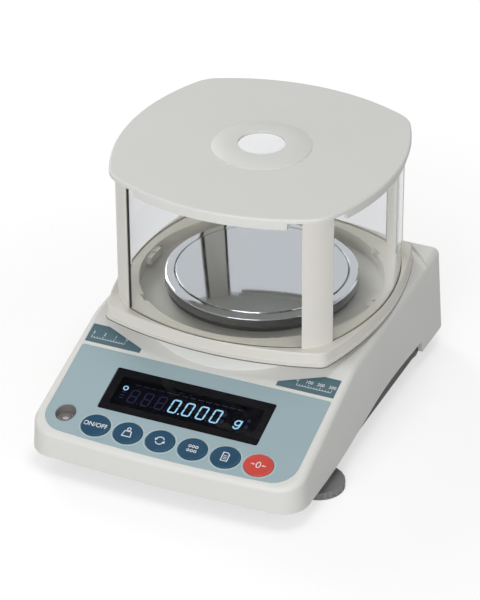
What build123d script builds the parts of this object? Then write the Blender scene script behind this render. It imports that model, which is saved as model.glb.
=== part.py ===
from build123d import *
import math
import os

# Precision balance with a glass draft shield, a display panel and six keys.
# Frame: +Z up, -Y is the front (keys), +X is the user's right. The origin is on the
# bench, at the centre of the footprint. All sizes are millimetres, angles degrees.

os.makedirs("parts", exist_ok=True)

# Housing
body_width = 193.0
body_depth = 262.5
body_bottom = 12.0            # height of the housing's lower edge over the bench
wall = 2.8
draft = 3.3
front_corner_radius = 18.0
rear_corner_radius = 9.0
front_bow = 3.5               # how far the front face swells at its middle
edge_radius = 4.5
panel_front_height = 17.0     # panel plane over the housing's lower edge, at the front
panel_slope = 19.3
panel_length = 103.0          # plan distance from the front to the crease behind the panel
deck_rise = 8.5               # from the crease to the rear edge
crease_radius = 40.0
case_gap = 0.3                # between the upper and the lower case
arch_start = 47.0             # grip arch in each side: its front end, from the front
arch_crest = 111.5            # from the rear
arch_end = 45.5               # from the rear
arch_rise = 10.4
arch_middle_rise = 4.16       # half way to the crest
arch_end_rise = 8.6
arch_toe = 2.0                # how far the steep rear end runs back on its way down

# Chamber seat, pan and shield
chamber_back = 96.25          # from the rear edge to the pan's axis
seat_height = 58.0            # chamber floor over the housing's lower edge
hub_hole_radius = 14.0
collar_width = 5.0            # round the hub's hole
collar_wall = 2.0
collar_height = 4.5
pan_radius = 65.0
pan_top = 72.8                # over the housing's lower edge
pan_sheet = 1.2
pan_skirt = 6.2
pan_margin = 7.5              # from the flat face to the rim
pan_step = 0.8                # from the flat face down to the margin
pan_fall = 0.5                # of the margin towards the rim
pan_rim_radius = 0.8
well_margin = 17.0            # open moat between the pan and the ring
ring_width = 9.6              # at the middle of a side
ring_side_radius = 236.0
ring_corner_radius = 8.0
ring_height = 10.0
ring_lip = 2.4
ring_lip_step = 0.7
ring_edge = 1.0
plateau_inset = 4.6           # round plateau inside the ring's outer side
pocket_margin = 27.0          # round pocket beyond the plateau
notch_width = 10.0            # in the ring's inner edge, at each corner
notch_depth = 5.0
tab_width = 16.0              # lock tabs of the ring
tab_reach = 4.0
tab_root = 1.5
tab_low = 3.0                 # over the chamber floor
tab_drop = 1.5                # under the ring's top
tab_hole_radius = 1.6
pane_inset = 2.3              # outer face of a pane inside the ring's outer side
bow_radius = 145.0            # outer face of a curved pane
pane_thickness = 2.0
pane_groove = 2.0
pane_slot = 1.4               # how far a pane enters a post
pane_gap = 0.15
pane_headroom = 1.2           # between a pane and the lid
post_proud = 1.0              # outer face of a post beyond the panes
post_back = 1.0               # inner face of a post behind the panes
post_corner_radius = 34.0
post_reach = 27.8             # from the outer face of a pane to a post's edge round the corner
post_foot_inset = 3.0
shield_height = 93.8          # posts, from the ring's top to the lid's underside
lid_skirt_gap = 0.3           # from the posts to the lid's skirt
lid_skirt_wall = 1.8
lid_overhang = 1.6            # lid beyond its skirt
lid_corner_radius = 24.0
lid_thickness = 3.0
lid_edge = 1.3
lid_skirt = 5.4
lid_lip = 4.4                 # strip of the lid inside the panes
lid_lip_wall = 1.4
lid_lip_gap = 0.4
lid_skirt_stop = 8.0          # between the end of a skirt and a post's edge
boss_radius = 33.0
boss_height = 2.4
boss_step = 0.4               # at the foot of the boss's domed flank
boss_crown_radius = 20.0      # where the flank meets the level crown
boss_wall = 1.6               # over the hollow underside
boss_rim = 4.0                # from the boss's outside to the hollow
lid_hole_radius = 15.6
lid_hole_edge = 0.5

# Panel: x across, s up the slope from the front edge
fascia_margin = 7.9           # at the sides
fascia_front = 5.0
fascia_top = 79.0
fascia_thickness = 0.8
fascia_corner = 16.0
fascia_rear_corner = 1.5
fascia_gap = 0.15
window_width = 113.0
window_front = 32.4
window_height = 34.6
window_centre_x = -0.6
window_corner = 1.5
window_gap = 0.1
window_ledge = 4.0
key_half_width = 9.9
key_half_length = 8.45        # along the slope
key_row_centre = 5.95
key_row = 17.9
key_spacing = 0.8             # between the flanges of neighbouring keys
key_gap = 0.25
key_proud = 1.0
key_edge = 0.6
key_travel = 0.8
key_flange = 1.5
key_flange_width = 0.9
key_stem_radius = 3.0
key_stem = 2.2
key_seat = 0.1
switch_size = 6.0
switch_height = 3.6
switch_gap = 0.2              # left at the end of a key's travel
badge_front = 82.0
badge_back = 97.0
badge_width = 39.8
badge_shoulder = 11.6         # from the outer end to where the back edge starts to fall
badge_low_end = 3.4           # depth of the inner end
badge_thickness = 0.5
badge_recess = 0.4
level_margin = 6.75           # between the bubble level and the first key
level_row = 22.5
level_radius = 6.8
level_sunk = 1.0
level_depth = 7.0
level_wall = 1.2
level_floor = 1.5
level_flange = 2.0
level_flange_thickness = 1.2
level_lens = 1.4
level_dome = 0.3

# Display and boards
tube_height = 6.6
tube_gap = 0.8
tube_corner = 1.0
tube_lift = 1.0               # feet between the tube and its board
tube_foot_width = 8.0
tube_foot_length = 14.0
board_thickness = 1.6
display_board_margin = 2.8    # beyond the first and the last key
display_board_front = 14.6
display_board_back = 74.0
display_screw_inset = 5.0
display_post_radius = 3.0
main_board_gap = 8.0          # beside the sensor
main_board_rear = 19.25       # from the housing's rear
main_board_width = 40.0
main_board_length = 142.0
main_screw_inset = 6.0
main_screw_front = 8.0
main_screw_back = 24.0
standoff_height = 12.0
standoff_radius = 3.0
header_inset = 2.0
header_width = 22.0
header_depth = 5.0
header_height = 4.0
ribbon_width = 18.0
ribbon_thickness = 0.6
ribbon_bend = 2.5
ribbon_drop = 6.0             # straight start under the display board
ribbon_rise = 7.0             # straight end over the header
ribbon_inset = 10.0           # from the back edge of the display board

# Screws
screw_radius = 1.5
screw_gap = 0.15              # round a screw in a housing part
board_screw_gap = 0.1         # round a screw in a board
screw_head_radius = 2.8
screw_head_height = 1.8
screw_head_edge = 0.7
screw_head_gap = 0.3
slot_width = 0.8
slot_length = 4.2
slot_depth = 0.8
screw_hole = 6.0              # depth of a threaded hole
screw_short = 5.5
sensor_screw_length = 8.0
case_screw_length = 9.0
case_screw_side = 12.5        # from the housing's sides
case_screw_front = 33.0       # from the front
case_screw_middle = 14.0      # behind the middle
case_screw_rear = 13.0        # from the rear
case_pillar_wall = 1.6

# Lower case and feet
floor_thickness = 3.0
rim_wall = 2.5
rim_cover = 1.2               # rim above the crest of the arch
foot_front_side = 10.0        # front feet, from the housing's sides
foot_front_back = 59.25       # from the front
foot_rear_side = 26.5         # rear feet, from the housing's sides
foot_rear_front = 31.25       # from the rear
foot_radius = 17.5
foot_thickness = 5.0
foot_edge = 0.8
foot_stem_radius = 3.0
foot_stem_rise = 7.5          # thread above the tray's floor
foot_stem_grip = 3.0          # thread in the disc
foot_collar_radius = 6.0
foot_boss_radius = 6.4
foot_boss_height = 8.0
foot_gap = 0.08
foot_flutes = 24
flute_radius = 1.3
flute_offset = 0.6            # flute's axis outside the disc's edge
flute_low = 1.2
hook_hole_radius = 9.0
hook_cover_thickness = 1.5
hook_cover_margin = 2.5
hook_arm_radius = 6.0
hook_pivot_margin = 7.0       # from the hole's edge to the cover's pivot
plate_width = 80.0
plate_depth = 35.0
plate_thickness = 0.4
plate_front = 71.25           # blank plate underneath, from the front

# Rear sockets, placed from the left edge of the main board
recess_width = 96.0
recess_bottom = 15.0          # over the housing's lower edge
recess_top = 40.0
recess_depth = 9.0
socket_gap = 0.2
jack_offset = 16.0
jack_width = 9.2
jack_height = 11.0
jack_length = 13.0
jack_proud = 0.6
jack_axis_height = 5.8
jack_bore_radius = 3.1
jack_bore_depth = 10.0
jack_pin_radius = 1.0
port_offset = 46.0
port_width = 19.6
port_height = 9.8
port_length = 12.0
port_axis_height = 5.3
port_flange_width = 30.8
port_flange_height = 12.4
port_flange = 0.8
port_screw_spacing = 25.0
port_screw_radius = 1.45
port_shell_length = 5.2
port_shell_wall = 0.5
port_shell_width = 17.0
port_shell_height = 8.3
port_shell_angle = 80.0
pin_radius = 0.5
pin_length = 4.4
pin_pitch = 2.77
pin_row = 1.42                # from the middle of the port
standoff_hexagon = 2.75
standoff_length = 5.0
standoff_bore = 1.2
earth_offset = 82.0
earth_radius = 2.0
earth_length = 7.5            # outside the rear panel
earth_washer_radius = 4.5
earth_washer = 0.8
earth_nut_radius = 4.0
earth_nut = 3.0
earth_head_radius = 3.8
earth_head = 2.0

# Force sensor, measured from the chamber's axis
sensor_half_width = 30.0
sensor_front = 30.0
sensor_back = 80.0
sensor_feet = 1.0             # pad under the base plate
sensor_plate = 6.0
sensor_height = 36.0
sensor_screw_side = 5.0
sensor_screw_end = 6.0
tower_front = 40.0
tower_back = 54.0
tower_window = 18.0
tower_window_low = 10.0
tower_window_top = 8.0
receiver_half = 12.0
receiver_lift = 4.0           # over the base plate
receiver_neck_radius = 10.0
flexure_thickness = 1.5
flexure_width = 12.0
flexure_neck = 2.4            # radius of the round notch that thins a flexure
flexure_neck_lift = 1.6
flexure_neck_inset = 4.0
lever_width = 10.0
lever_height = 8.0
lever_lift = 14.0
lever_start = 2.0
lever_end = 58.0
magnet_back = 66.0
magnet_radius = 10.5
magnet_height = 12.0
magnet_wall = 2.0
magnet_floor = 2.5
magnet_core = 5.5
magnet_core_drop = 1.0
coil_radius = 7.6
coil_bore = 6.4
coil_lift = 6.0
coil_height = 10.0
coil_cap = 2.0
coil_arm = 8.0
coil_arm_height = 6.0
hub_radius = 6.0
hub_tip_radius = 4.5
hub_rise = 10.0               # tapered stud above the chamber floor
hub_base = 3.0                # its wide end under the chamber floor
hub_neck = 6.0                # neck of the receiver under the chamber floor
hub_gap = 0.05
carrier_margin = 8.0          # pan carrier beyond the circle of the cushions
carrier_thickness = 2.0
carrier_sleeve = 3.0
carrier_window = 9.0
cushion_circle = 34.0
cushion_radius = 4.0
cushion_height = 2.2
hook_shank_radius = 2.0
hook_shank = 3.0
hook_eye_radius = 4.0
hook_eye_wire = 1.2
hook_eye_drop = 7.0

# Derived places
slope = math.radians(panel_slope)
front_y = -body_depth / 2
rear_y = body_depth / 2
side_x = body_width / 2
crease_y = front_y + panel_length
panel_z = body_bottom + panel_front_height
crease_z = panel_z + panel_length * math.tan(slope)
deck_grade = deck_rise / (rear_y - crease_y)
chamber_y = rear_y - chamber_back
seat_z = body_bottom + seat_height
pan_z = body_bottom + pan_top
ring_z = seat_z + ring_height
lid_z = ring_z + shield_height
floor_z = body_bottom + floor_thickness
main_board_z = floor_z + standoff_height
board_top_z = main_board_z + board_thickness
sensor_z = floor_z + sensor_feet + sensor_plate
sensor_top = sensor_z + sensor_height
receiver_z = sensor_z + receiver_lift
tall = 200.0                  # longer than any cut needs

# Derived sizes of the chamber and the shield
pan_face_radius = pan_radius - pan_margin
well_radius = pan_radius + well_margin
ring_half = well_radius + ring_width
plateau_radius = ring_half - plateau_inset
pocket_radius = plateau_radius + pocket_margin
pane_half = ring_half - pane_inset
post_thickness = post_proud + pane_thickness + post_back
post_inner = pane_half - post_reach
lid_half = pane_half + post_proud + lid_skirt_gap + lid_skirt_wall + lid_overhang

# Derived places on the panel
fascia_half = side_x - fascia_margin
badge_outer = fascia_half
badge_inner = badge_outer - badge_width
key_flange_reach = key_gap + key_flange_width
key_pitch = 2 * (key_half_width + key_flange_reach) + key_spacing
key_names = ["power", "calibrate", "mode", "sample", "print", "rezero"]
key_places = [
    key_row_centre + (index - (len(key_names) - 1) / 2) * key_pitch
    for index in range(len(key_names))
]
level_x = key_places[0] - key_half_width - key_gap - level_margin - level_radius

# Depths below the panel plane
key_flange_top = wall + key_seat
key_stem_end = key_flange_top + key_flange + key_stem
switch_top = key_stem_end + key_travel + switch_gap
display_board_top = switch_top + switch_height
tube_bottom = display_board_top - tube_lift

# Places of the boards and of what is screwed to them
display_board_left = key_places[0] - key_half_width - display_board_margin
display_board_right = key_places[-1] + key_half_width + display_board_margin
display_screw_places = [
    (x, s)
    for x in (display_board_left + display_screw_inset,
              display_board_right - display_screw_inset)
    for s in (window_front, display_board_back - display_screw_inset)
]
main_board_right = -sensor_half_width - main_board_gap
main_board_left = main_board_right - main_board_width
main_board_middle = (main_board_left + main_board_right) / 2
main_board_back = rear_y - main_board_rear
main_board_front = main_board_back - main_board_length
header_y = main_board_front + header_inset + header_depth / 2
main_screw_places = [
    (x, y)
    for x in (main_board_left + main_screw_inset, main_board_right - main_screw_inset)
    for y in (main_board_front + main_screw_front, main_board_back - main_screw_back)
]
recess_left = main_board_left
recess_right = recess_left + recess_width
recess_y = rear_y - recess_depth
socket_z = board_top_z + port_axis_height
jack_x = main_board_left + jack_offset
port_x = main_board_left + port_offset
port_screw_places = [port_x + side * port_screw_spacing / 2 for side in (-1, 1)]
earth_x = main_board_left + earth_offset

# Places of the other screws and of the feet
case_screw_places = [
    (side * (side_x - case_screw_side), y)
    for side in (-1, 1)
    for y in (front_y + case_screw_front, case_screw_middle, rear_y - case_screw_rear)
]
sensor_screw_places = [
    (side * (sensor_half_width - sensor_screw_side), chamber_y + y)
    for side in (-1, 1)
    for y in (sensor_screw_end - sensor_front, sensor_back - sensor_screw_end)
]
hook_pivot_x = hook_hole_radius + hook_pivot_margin
foot_places = {
    "front_left": (-side_x + foot_front_side, front_y + foot_front_back),
    "front_right": (side_x - foot_front_side, front_y + foot_front_back),
    "rear_left": (-side_x + foot_rear_side, rear_y - foot_rear_front),
    "rear_right": (side_x - foot_rear_side, rear_y - foot_rear_front),
}

UP = (Align.CENTER, Align.CENTER, Align.MIN)
LOW = (Align.MIN, Align.MIN, Align.MIN)


# General helpers


def save(node, solids):
    """Write one node. Several separate solids make a group."""
    shape = solids[0] if len(solids) == 1 else Compound(children=solids)
    export_step(shape, f"parts/{node}.step")


def disc(radius, low, high, x=0.0, y=0.0):
    """Upright cylinder between two heights."""
    return Pos(x, y, low) * Cylinder(radius, high - low, align=UP)


def block(x0, x1, y0, y1, z0, z1):
    """Box between two corners."""
    return Pos(x0, y0, z0) * Box(x1 - x0, y1 - y0, z1 - z0, align=LOW)


def turned(points, x=0.0, y=0.0):
    """Solid of revolution about an upright axis, from radius and height pairs."""
    face = make_face(Plane.XZ * Polyline(*points, close=True))
    return Pos(x, y, 0) * revolve(face, Axis.Z)


def slab(face, low, high):
    """Prism of a sketch in plan, between two heights."""
    return Pos(0, 0, low) * extrude(face, high - low)


def joined(solids):
    """One solid from several that touch."""
    result = solids[0]
    for solid in solids[1:]:
        result += solid
    return result


def on_panel(x, s, lift=0.0):
    """Place on the sloping panel, with lift along its normal."""
    normal = (0, -math.sin(slope), math.cos(slope))
    plane = Plane(origin=(0, front_y, panel_z), x_dir=(1, 0, 0), z_dir=normal)
    return plane.location * Pos(x, s, lift)


def panel_height(y):
    """Height of the panel plane at a plan distance y."""
    return panel_z + (y - front_y) * math.tan(slope)


def under_panel(s, depth):
    """Plan distance and height of a point at a depth below the panel plane."""
    y = front_y + s * math.cos(slope) + depth * math.sin(slope)
    return y, panel_z + s * math.sin(slope) - depth * math.cos(slope)


def on_rear(x, z, out=0.0):
    """Place on the sunk rear panel, its axis pointing out of the housing."""
    return Pos(x, recess_y + out, z) * Rot(-90, 0, 0)


def in_chamber(turn):
    """Place at the chamber's axis, turned in quarter turns."""
    return Pos(0, chamber_y) * Rot(0, 0, 90 * turn)


# Forms of the housing


def bowed_front(half, front, rear, front_radius, rear_radius):
    """Outline with a bowed front edge, straight sides and rounded corners."""
    shoulder = front + front_bow
    sides = Polyline((half, shoulder), (half, rear), (-half, rear), (-half, shoulder))
    bow = ThreePointArc((-half, shoulder), (0, front), (half, shoulder))
    face = make_face([sides, bow])
    face = fillet(face.vertices().sort_by(Axis.Y)[:2], front_radius)
    return fillet(face.vertices().sort_by(Axis.Y)[-2:], rear_radius)


def case_plan(inset):
    """Plan of the housing, moved inwards by inset."""
    return bowed_front(side_x - inset, front_y + inset, rear_y - inset,
                       front_corner_radius - inset, rear_corner_radius - inset)


def case_profile(inset):
    """Side view of the housing: sloping panel, soft crease and deck."""
    deck = math.atan(deck_grade)
    panel_drop = inset / math.cos(slope)
    deck_drop = inset / math.cos(deck)
    shift = (panel_drop - deck_drop) / (math.tan(slope) - deck_grade)
    kink = (crease_y + shift, crease_z + shift * math.tan(slope) - panel_drop)
    far = body_depth
    front = (kink[0] - far, kink[1] - far * math.tan(slope))
    rear = (kink[0] + far, kink[1] + far * deck_grade)
    base = min(front[1], body_bottom) - wall
    outline = Polyline(front, kink, rear, (rear[0], base), (front[0], base), close=True)
    face = make_face(outline)
    vertex = face.vertices().sort_by_distance((kink[0], kink[1], 0))[0]
    return fillet(vertex, crease_radius - inset)


def case_form(inset):
    """Solid form of the housing, drafted, moved inwards by inset."""
    prism = Pos(0, 0, body_bottom) * extrude(case_plan(inset), tall / 2, taper=draft)
    profile = Plane.YZ * case_profile(inset)
    return prism & extrude(profile, body_width, both=True)


def round_top(form):
    """Round the edges where the panel and the deck meet the outer walls."""
    tops = [face for face in form.faces() if face.normal_at().Z > 0.5]
    top_edges = [edge for face in tops for edge in face.edges()]

    def is_rim(edge):
        middle = edge.center()
        inside = front_y + rear_corner_radius < middle.Y < rear_y - rear_corner_radius
        return edge in top_edges and not (inside and abs(middle.X) < edge_radius)

    return fillet([edge for edge in form.edges() if is_rim(edge)], edge_radius)


# Forms of the shield


def bowed_plan(half, side_radius, corner_radius):
    """Square with four bowed sides and rounded corners, about the chamber's axis.

    A corner arc's centre (c, c) lies where it touches both side arcs:
    (c - half + R)^2 + c^2 = (R - r)^2.
    """
    shift = side_radius - half
    reach = side_radius - corner_radius
    c = (-shift + math.sqrt(2 * reach**2 - shift**2)) / 2
    start = math.atan2(c, c + shift)

    def side_point(angle):
        return (-shift + side_radius * math.cos(angle), side_radius * math.sin(angle))

    def corner_point(angle):
        return (c + corner_radius * math.cos(angle), c + corner_radius * math.sin(angle))

    side = ThreePointArc(side_point(-start), side_point(0), side_point(start))
    corner = ThreePointArc(
        corner_point(start), corner_point(math.pi / 4), corner_point(math.pi / 2 - start)
    )
    arcs = [Rot(0, 0, 90 * turn) * arc for turn in range(4) for arc in (side, corner)]
    return Pos(0, chamber_y) * make_face(arcs)


def band(outer_half, side_radius, corner_radius, thickness):
    """Closed band between two bowed outlines that run side by side."""
    outer = bowed_plan(outer_half, side_radius, corner_radius)
    inner = bowed_plan(outer_half - thickness, side_radius - thickness,
                       corner_radius - thickness)
    return outer - inner


def pane_plan(clearance):
    """Band of a pane's thickness, widened on both faces by clearance."""
    return band(pane_half + clearance, bow_radius + clearance,
                post_corner_radius - post_proud + clearance, pane_thickness + 2 * clearance)


def lid_band(half, thickness):
    """Band under the lid that runs along the panes, from its outer half size."""
    return band(half, bow_radius + half - pane_half, lid_corner_radius, thickness)


def side_zone(turn, half_length):
    """Wide box that keeps one side of the shield."""
    box = Pos(0, -tall / 2, lid_z) * Box(2 * half_length, tall, 2 * tall)
    return in_chamber(turn) * box


def corner_zone(turn, edge):
    """Wide box that keeps one corner of the shield, from edge outwards."""
    return in_chamber(turn) * block(edge, tall, edge, tall, -tall, 2 * tall)


# Housing


def upper_case():
    """Cream top housing: panel, deck, chamber seat, grip arches and rear socket recess."""
    cavity_top = seat_z - wall
    shell = round_top(case_form(0))
    shell -= disc(pocket_radius, seat_z, tall, 0, chamber_y)
    shell += disc(plateau_radius, panel_z, seat_z, 0, chamber_y)
    below = block(-body_width, body_width, front_y, rear_y, -tall, cavity_top)
    shell -= case_form(wall) & below
    shell -= disc(plateau_radius - wall, body_bottom, cavity_top, 0, chamber_y)
    shell -= disc(hub_hole_radius, 0, tall, 0, chamber_y)
    shell += screw_pillars()
    shell += recess_walls()
    shell -= block(recess_left, recess_right, recess_y, rear_y + 1,
                   body_bottom + recess_bottom, body_bottom + recess_top)
    shell -= socket_holes()
    for side in (-1, 1):
        shell -= grip_arch(side)
    return shell - panel_cuts() + display_posts()


def screw_pillars():
    """Pillars inside the housing that take the case screws from below."""
    ceiling = block(-body_width, body_width, front_y, rear_y, 0, seat_z - wall / 2)
    room = case_form(wall / 2) & ceiling
    pillars = [
        disc(screw_radius + case_pillar_wall, floor_z, tall, x, y) & room
        for x, y in case_screw_places
    ]
    holes = [
        disc(screw_radius, 0, body_bottom + screw_head_height + case_screw_length, x, y)
        for x, y in case_screw_places
    ]
    return joined([pillar - hole for pillar, hole in zip(pillars, holes)])


def display_posts():
    """Posts under the panel's skin that the display board is screwed to."""
    depth = display_board_top - wall
    posts = []
    for x, s in display_screw_places:
        place = on_panel(x, s, -display_board_top)
        post = place * Cylinder(display_post_radius, depth + wall / 2, align=UP)
        posts.append(post - place * Cylinder(screw_radius, screw_short, align=UP))
    return joined(posts)


def recess_walls():
    """Walls round the sunk rear panel that carries the sockets."""
    low = body_bottom + recess_bottom - wall
    high = body_bottom + recess_top + wall
    walls = block(recess_left - wall, recess_right + wall, recess_y - wall, rear_y, low, high)
    return walls & case_form(wall / 2)


def socket_holes():
    """Openings of the sunk rear panel for the jack, the port and the earth stud."""
    def opening(x, z, width, height):
        hole = Box(width + 2 * socket_gap, height + 2 * socket_gap, 4 * wall)
        return on_rear(x, z) * hole

    def round_hole(x, radius):
        return on_rear(x, socket_z) * Cylinder(radius, 4 * wall)

    jack = opening(jack_x, board_top_z + jack_height / 2, jack_width, jack_height)
    port = opening(port_x, socket_z, port_width, port_height)
    screws = [round_hole(x, port_screw_radius + screw_gap) for x in port_screw_places]
    return joined([jack, port, *screws, round_hole(earth_x, earth_radius + screw_gap)])


def grip_arch(side):
    """Cutter for the hand grip in one side wall: a long arch with a steep rear end."""
    start = front_y + arch_start
    crest = rear_y - arch_crest
    end = rear_y - arch_end
    under = body_bottom - wall
    rise = Spline(
        (start, body_bottom),
        ((start + crest) / 2, body_bottom + arch_middle_rise),
        (crest, body_bottom + arch_rise),
        (end, body_bottom + arch_end_rise),
        tangents=[(1, 0), (1, -0.05)],
    )
    close = Polyline((end, body_bottom + arch_end_rise), (end + arch_toe, body_bottom),
                     (end + arch_toe, under), (start, under), (start, body_bottom))
    face = Plane.YZ * make_face([rise, close])
    middle = side * (side_x - wall / 2)
    return Pos(middle, 0, 0) * extrude(face, wall / 2 + 2 * case_gap, both=True)


def lower_case():
    """Dark tray that closes the housing, with bosses for screws, feet and boards."""
    gap = wall + case_gap
    inside = case_form(gap)
    rim_top = body_bottom + arch_rise + rim_cover
    rim_zone = block(-body_width, body_width, front_y, rear_y, body_bottom, rim_top)
    under_floor = block(-body_width, body_width, front_y, rear_y, 0, floor_z)
    tray = (inside & rim_zone) - (case_form(gap + rim_wall) - under_floor)
    for x, y in foot_places.values():
        boss = disc(foot_boss_radius, body_bottom, floor_z + foot_boss_height, x, y)
        tray += boss & inside
        tray -= disc(foot_stem_radius + foot_gap, 0, tall, x, y)
    for x, y in main_screw_places:
        tray += disc(standoff_radius, body_bottom, main_board_z, x, y)
        tray -= disc(screw_radius, main_board_z - screw_hole, tall, x, y)
    for x, y in case_screw_places:
        head = screw_head_radius + screw_head_gap
        tray -= disc(screw_radius + screw_gap, 0, tall, x, y)
        tray -= disc(head, 0, body_bottom + screw_head_height, x, y)
    for x, y in sensor_screw_places:
        tray -= disc(screw_radius, sensor_z - sensor_screw_length, tall, x, y)
    tray -= disc(hook_hole_radius, 0, tall, 0, chamber_y)
    tray -= disc(screw_radius, 0, tall, hook_pivot_x, chamber_y)
    return tray + level_post()


def rating_plate():
    """Blank plate on the underside."""
    back = front_y + plate_front + plate_depth
    return block(-plate_width / 2, plate_width / 2, front_y + plate_front, back,
                 body_bottom - plate_thickness, body_bottom)


# Panel


def fascia_outline(clearance):
    """Outline of the coloured panel, widened by clearance, in panel coordinates."""
    return bowed_front(fascia_half + clearance, fascia_front - clearance,
                       fascia_top + clearance, fascia_corner + clearance,
                       fascia_rear_corner)


def badge_outline(side, clearance):
    """Five-cornered plate behind the panel; its inner end rises to a shoulder."""
    inner = badge_inner - clearance
    outer = badge_outer + clearance
    front = badge_front - clearance
    back = badge_back + clearance
    points = [(outer, front), (outer, back), (badge_outer - badge_shoulder, back),
              (inner, badge_front + badge_low_end + clearance), (inner, front)]
    return make_face(Polyline(*[(side * x, y) for x, y in points], close=True))


def window_place(lift):
    """Middle of the display window, with lift along the panel's normal."""
    return on_panel(window_centre_x, window_front + window_height / 2, lift)


def window_outline(clearance):
    """Rounded outline of the display window, widened by clearance."""
    return RectangleRounded(window_width + 2 * clearance, window_height + 2 * clearance,
                            window_corner + clearance)


def key_outline(reach):
    """Oval outline of a key, widened by reach."""
    return Ellipse(key_half_width + reach, key_half_length + reach)


def key_hole(x, depth):
    """Cutter for a key's hole, depth to both sides of the panel plane."""
    return on_panel(x, key_row) * extrude(key_outline(key_gap), depth, both=True)


def level_centre():
    """Top of the bubble level: just under the panel at the front of its hole."""
    y = front_y + level_row * math.cos(slope)
    return level_x, y, panel_height(y - level_radius) - level_sunk


def level_hole():
    """Cutter for the upright hole over the bubble level."""
    x, y, z = level_centre()
    return disc(level_radius + fascia_gap, z - 2 * wall, z + tall / 2, x, y)


def panel_cuts():
    """Everything sunk into or cut through the sloping panel."""
    deep = 3 * wall
    frame = 2 * window_ledge
    cuts = on_panel(0, 0, -fascia_thickness) * extrude(fascia_outline(fascia_gap), deep)
    cuts += window_place(0) * Box(window_width - frame, window_height - frame, 2 * deep)
    for x in key_places:
        cuts += key_hole(x, deep)
    for side in (-1, 1):
        outline = badge_outline(side, fascia_gap)
        cuts += on_panel(0, 0, -badge_recess) * extrude(outline, deep)
    return cuts + level_hole()


def fascia_panel():
    """Coloured panel with holes for the window, the keys and the bubble level."""
    panel = on_panel(0, 0, -fascia_thickness) * extrude(fascia_outline(0), fascia_thickness)
    panel -= window_place(0) * extrude(window_outline(window_gap), wall, both=True)
    for x in key_places:
        panel -= key_hole(x, wall)
    return panel - level_hole()


def badge(side):
    """Thin plate in a shallow recess behind the panel."""
    return on_panel(0, 0, -badge_recess) * extrude(badge_outline(side, 0), badge_thickness)


def display_window():
    """Dark window that lies on the ledge of its opening."""
    return window_place(-fascia_thickness) * extrude(window_outline(0), fascia_thickness)


def display_tube():
    """Sealed display tube under the window."""
    frame = 2 * (window_ledge + tube_gap)
    tube = Box(window_width - frame, window_height - frame, tube_height, align=UP)
    return window_place(-tube_bottom) * fillet(tube.edges().filter_by(Axis.Z), tube_corner)


def display_board():
    """Board behind the panel; it carries the tube on two feet and the key switches."""
    middle = (display_board_left + display_board_right) / 2
    centre = (display_board_front + display_board_back) / 2
    board = on_panel(middle, centre, -display_board_top - board_thickness) * Box(
        display_board_right - display_board_left, display_board_back - display_board_front,
        board_thickness, align=UP)
    foot = Box(tube_foot_width, tube_foot_length, tube_lift, align=UP)
    for side in (-1, 1):
        board += window_place(-display_board_top) * Pos(side * window_width / 3, 0) * foot
    for x, s in display_screw_places:
        board -= on_panel(x, s) * Cylinder(screw_radius + board_screw_gap, tall)
    return board


def key_switches():
    """One small switch under each key."""
    switch = Box(switch_size, switch_size, switch_height, align=UP)
    return [on_panel(x, key_row, -display_board_top) * switch for x in key_places]


def key_cap(x):
    """Oval key: cap, retaining flange under the housing's skin and a stem."""
    cap = extrude(key_outline(0), key_proud + key_flange_top)
    cap = fillet(cap.edges().group_by(Axis.Z)[-1], key_edge)
    flange = extrude(key_outline(key_flange_reach), key_flange)
    stem = Cylinder(key_stem_radius, key_stem, align=UP)
    return joined([
        on_panel(x, key_row, -key_flange_top) * cap,
        on_panel(x, key_row, -key_flange_top - key_flange) * flange,
        on_panel(x, key_row, -key_stem_end) * stem,
    ])


def level_cup():
    """Cup of the bubble level with a flange at its foot."""
    x, y, z = level_centre()
    low = z - level_depth
    cup = disc(level_radius, low, z, x, y)
    cup -= disc(level_radius - level_wall, low + level_floor, z, x, y)
    return cup + disc(level_radius + level_flange, low, low + level_flange_thickness, x, y)


def level_liquid():
    """Liquid in the bubble level."""
    x, y, z = level_centre()
    low = z - level_depth + level_floor
    return disc(level_radius - level_wall, low, z - level_lens, x, y)


def level_glass():
    """Domed lens that closes the bubble level."""
    x, y, z = level_centre()
    inner = level_radius - level_wall
    low = z - level_lens
    return turned([(0, low), (inner, low), (inner, z - level_dome), (0, z)], x, y)


def level_post():
    """Post on the tray that carries the bubble level."""
    x, y, z = level_centre()
    return disc(level_radius - level_wall, body_bottom, z - level_depth, x, y)


# Pan


def weighing_pan():
    """Pressed steel pan: flat face, step, sloping margin and turned-down skirt."""
    margin = pan_z - pan_step
    rim = margin - pan_fall
    low = rim - pan_skirt
    outer = pan_radius
    inner = pan_radius - pan_sheet
    face = pan_face_radius
    slant = pan_step              # the step's wall leans out as far as it falls
    outline = [
        (0, pan_z), (face, pan_z), (face + slant, margin), (outer, rim), (outer, low),
        (inner, low), (inner, rim - pan_sheet), (face, margin - pan_sheet),
        (face - slant, pan_z - pan_sheet), (0, pan_z - pan_sheet),
    ]
    pan = turned(outline, 0, chamber_y)
    rims = [
        edge for edge in pan.edges().filter_by(GeomType.CIRCLE)
        if abs(edge.radius - outer) < 0.01 and edge.center().Z > low + pan_sheet
    ]
    return fillet(rims, pan_rim_radius)


def hub_taper(clearance, top):
    """Tapered stud that the pan carrier drops on."""
    low = seat_z - hub_base
    rate = (hub_radius - hub_tip_radius) / (hub_base + hub_rise)
    tip = hub_radius - rate * (top - low)
    points = [(0, low), (hub_radius + clearance, low), (tip + clearance, top), (0, top)]
    return turned(points, 0, chamber_y)


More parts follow.
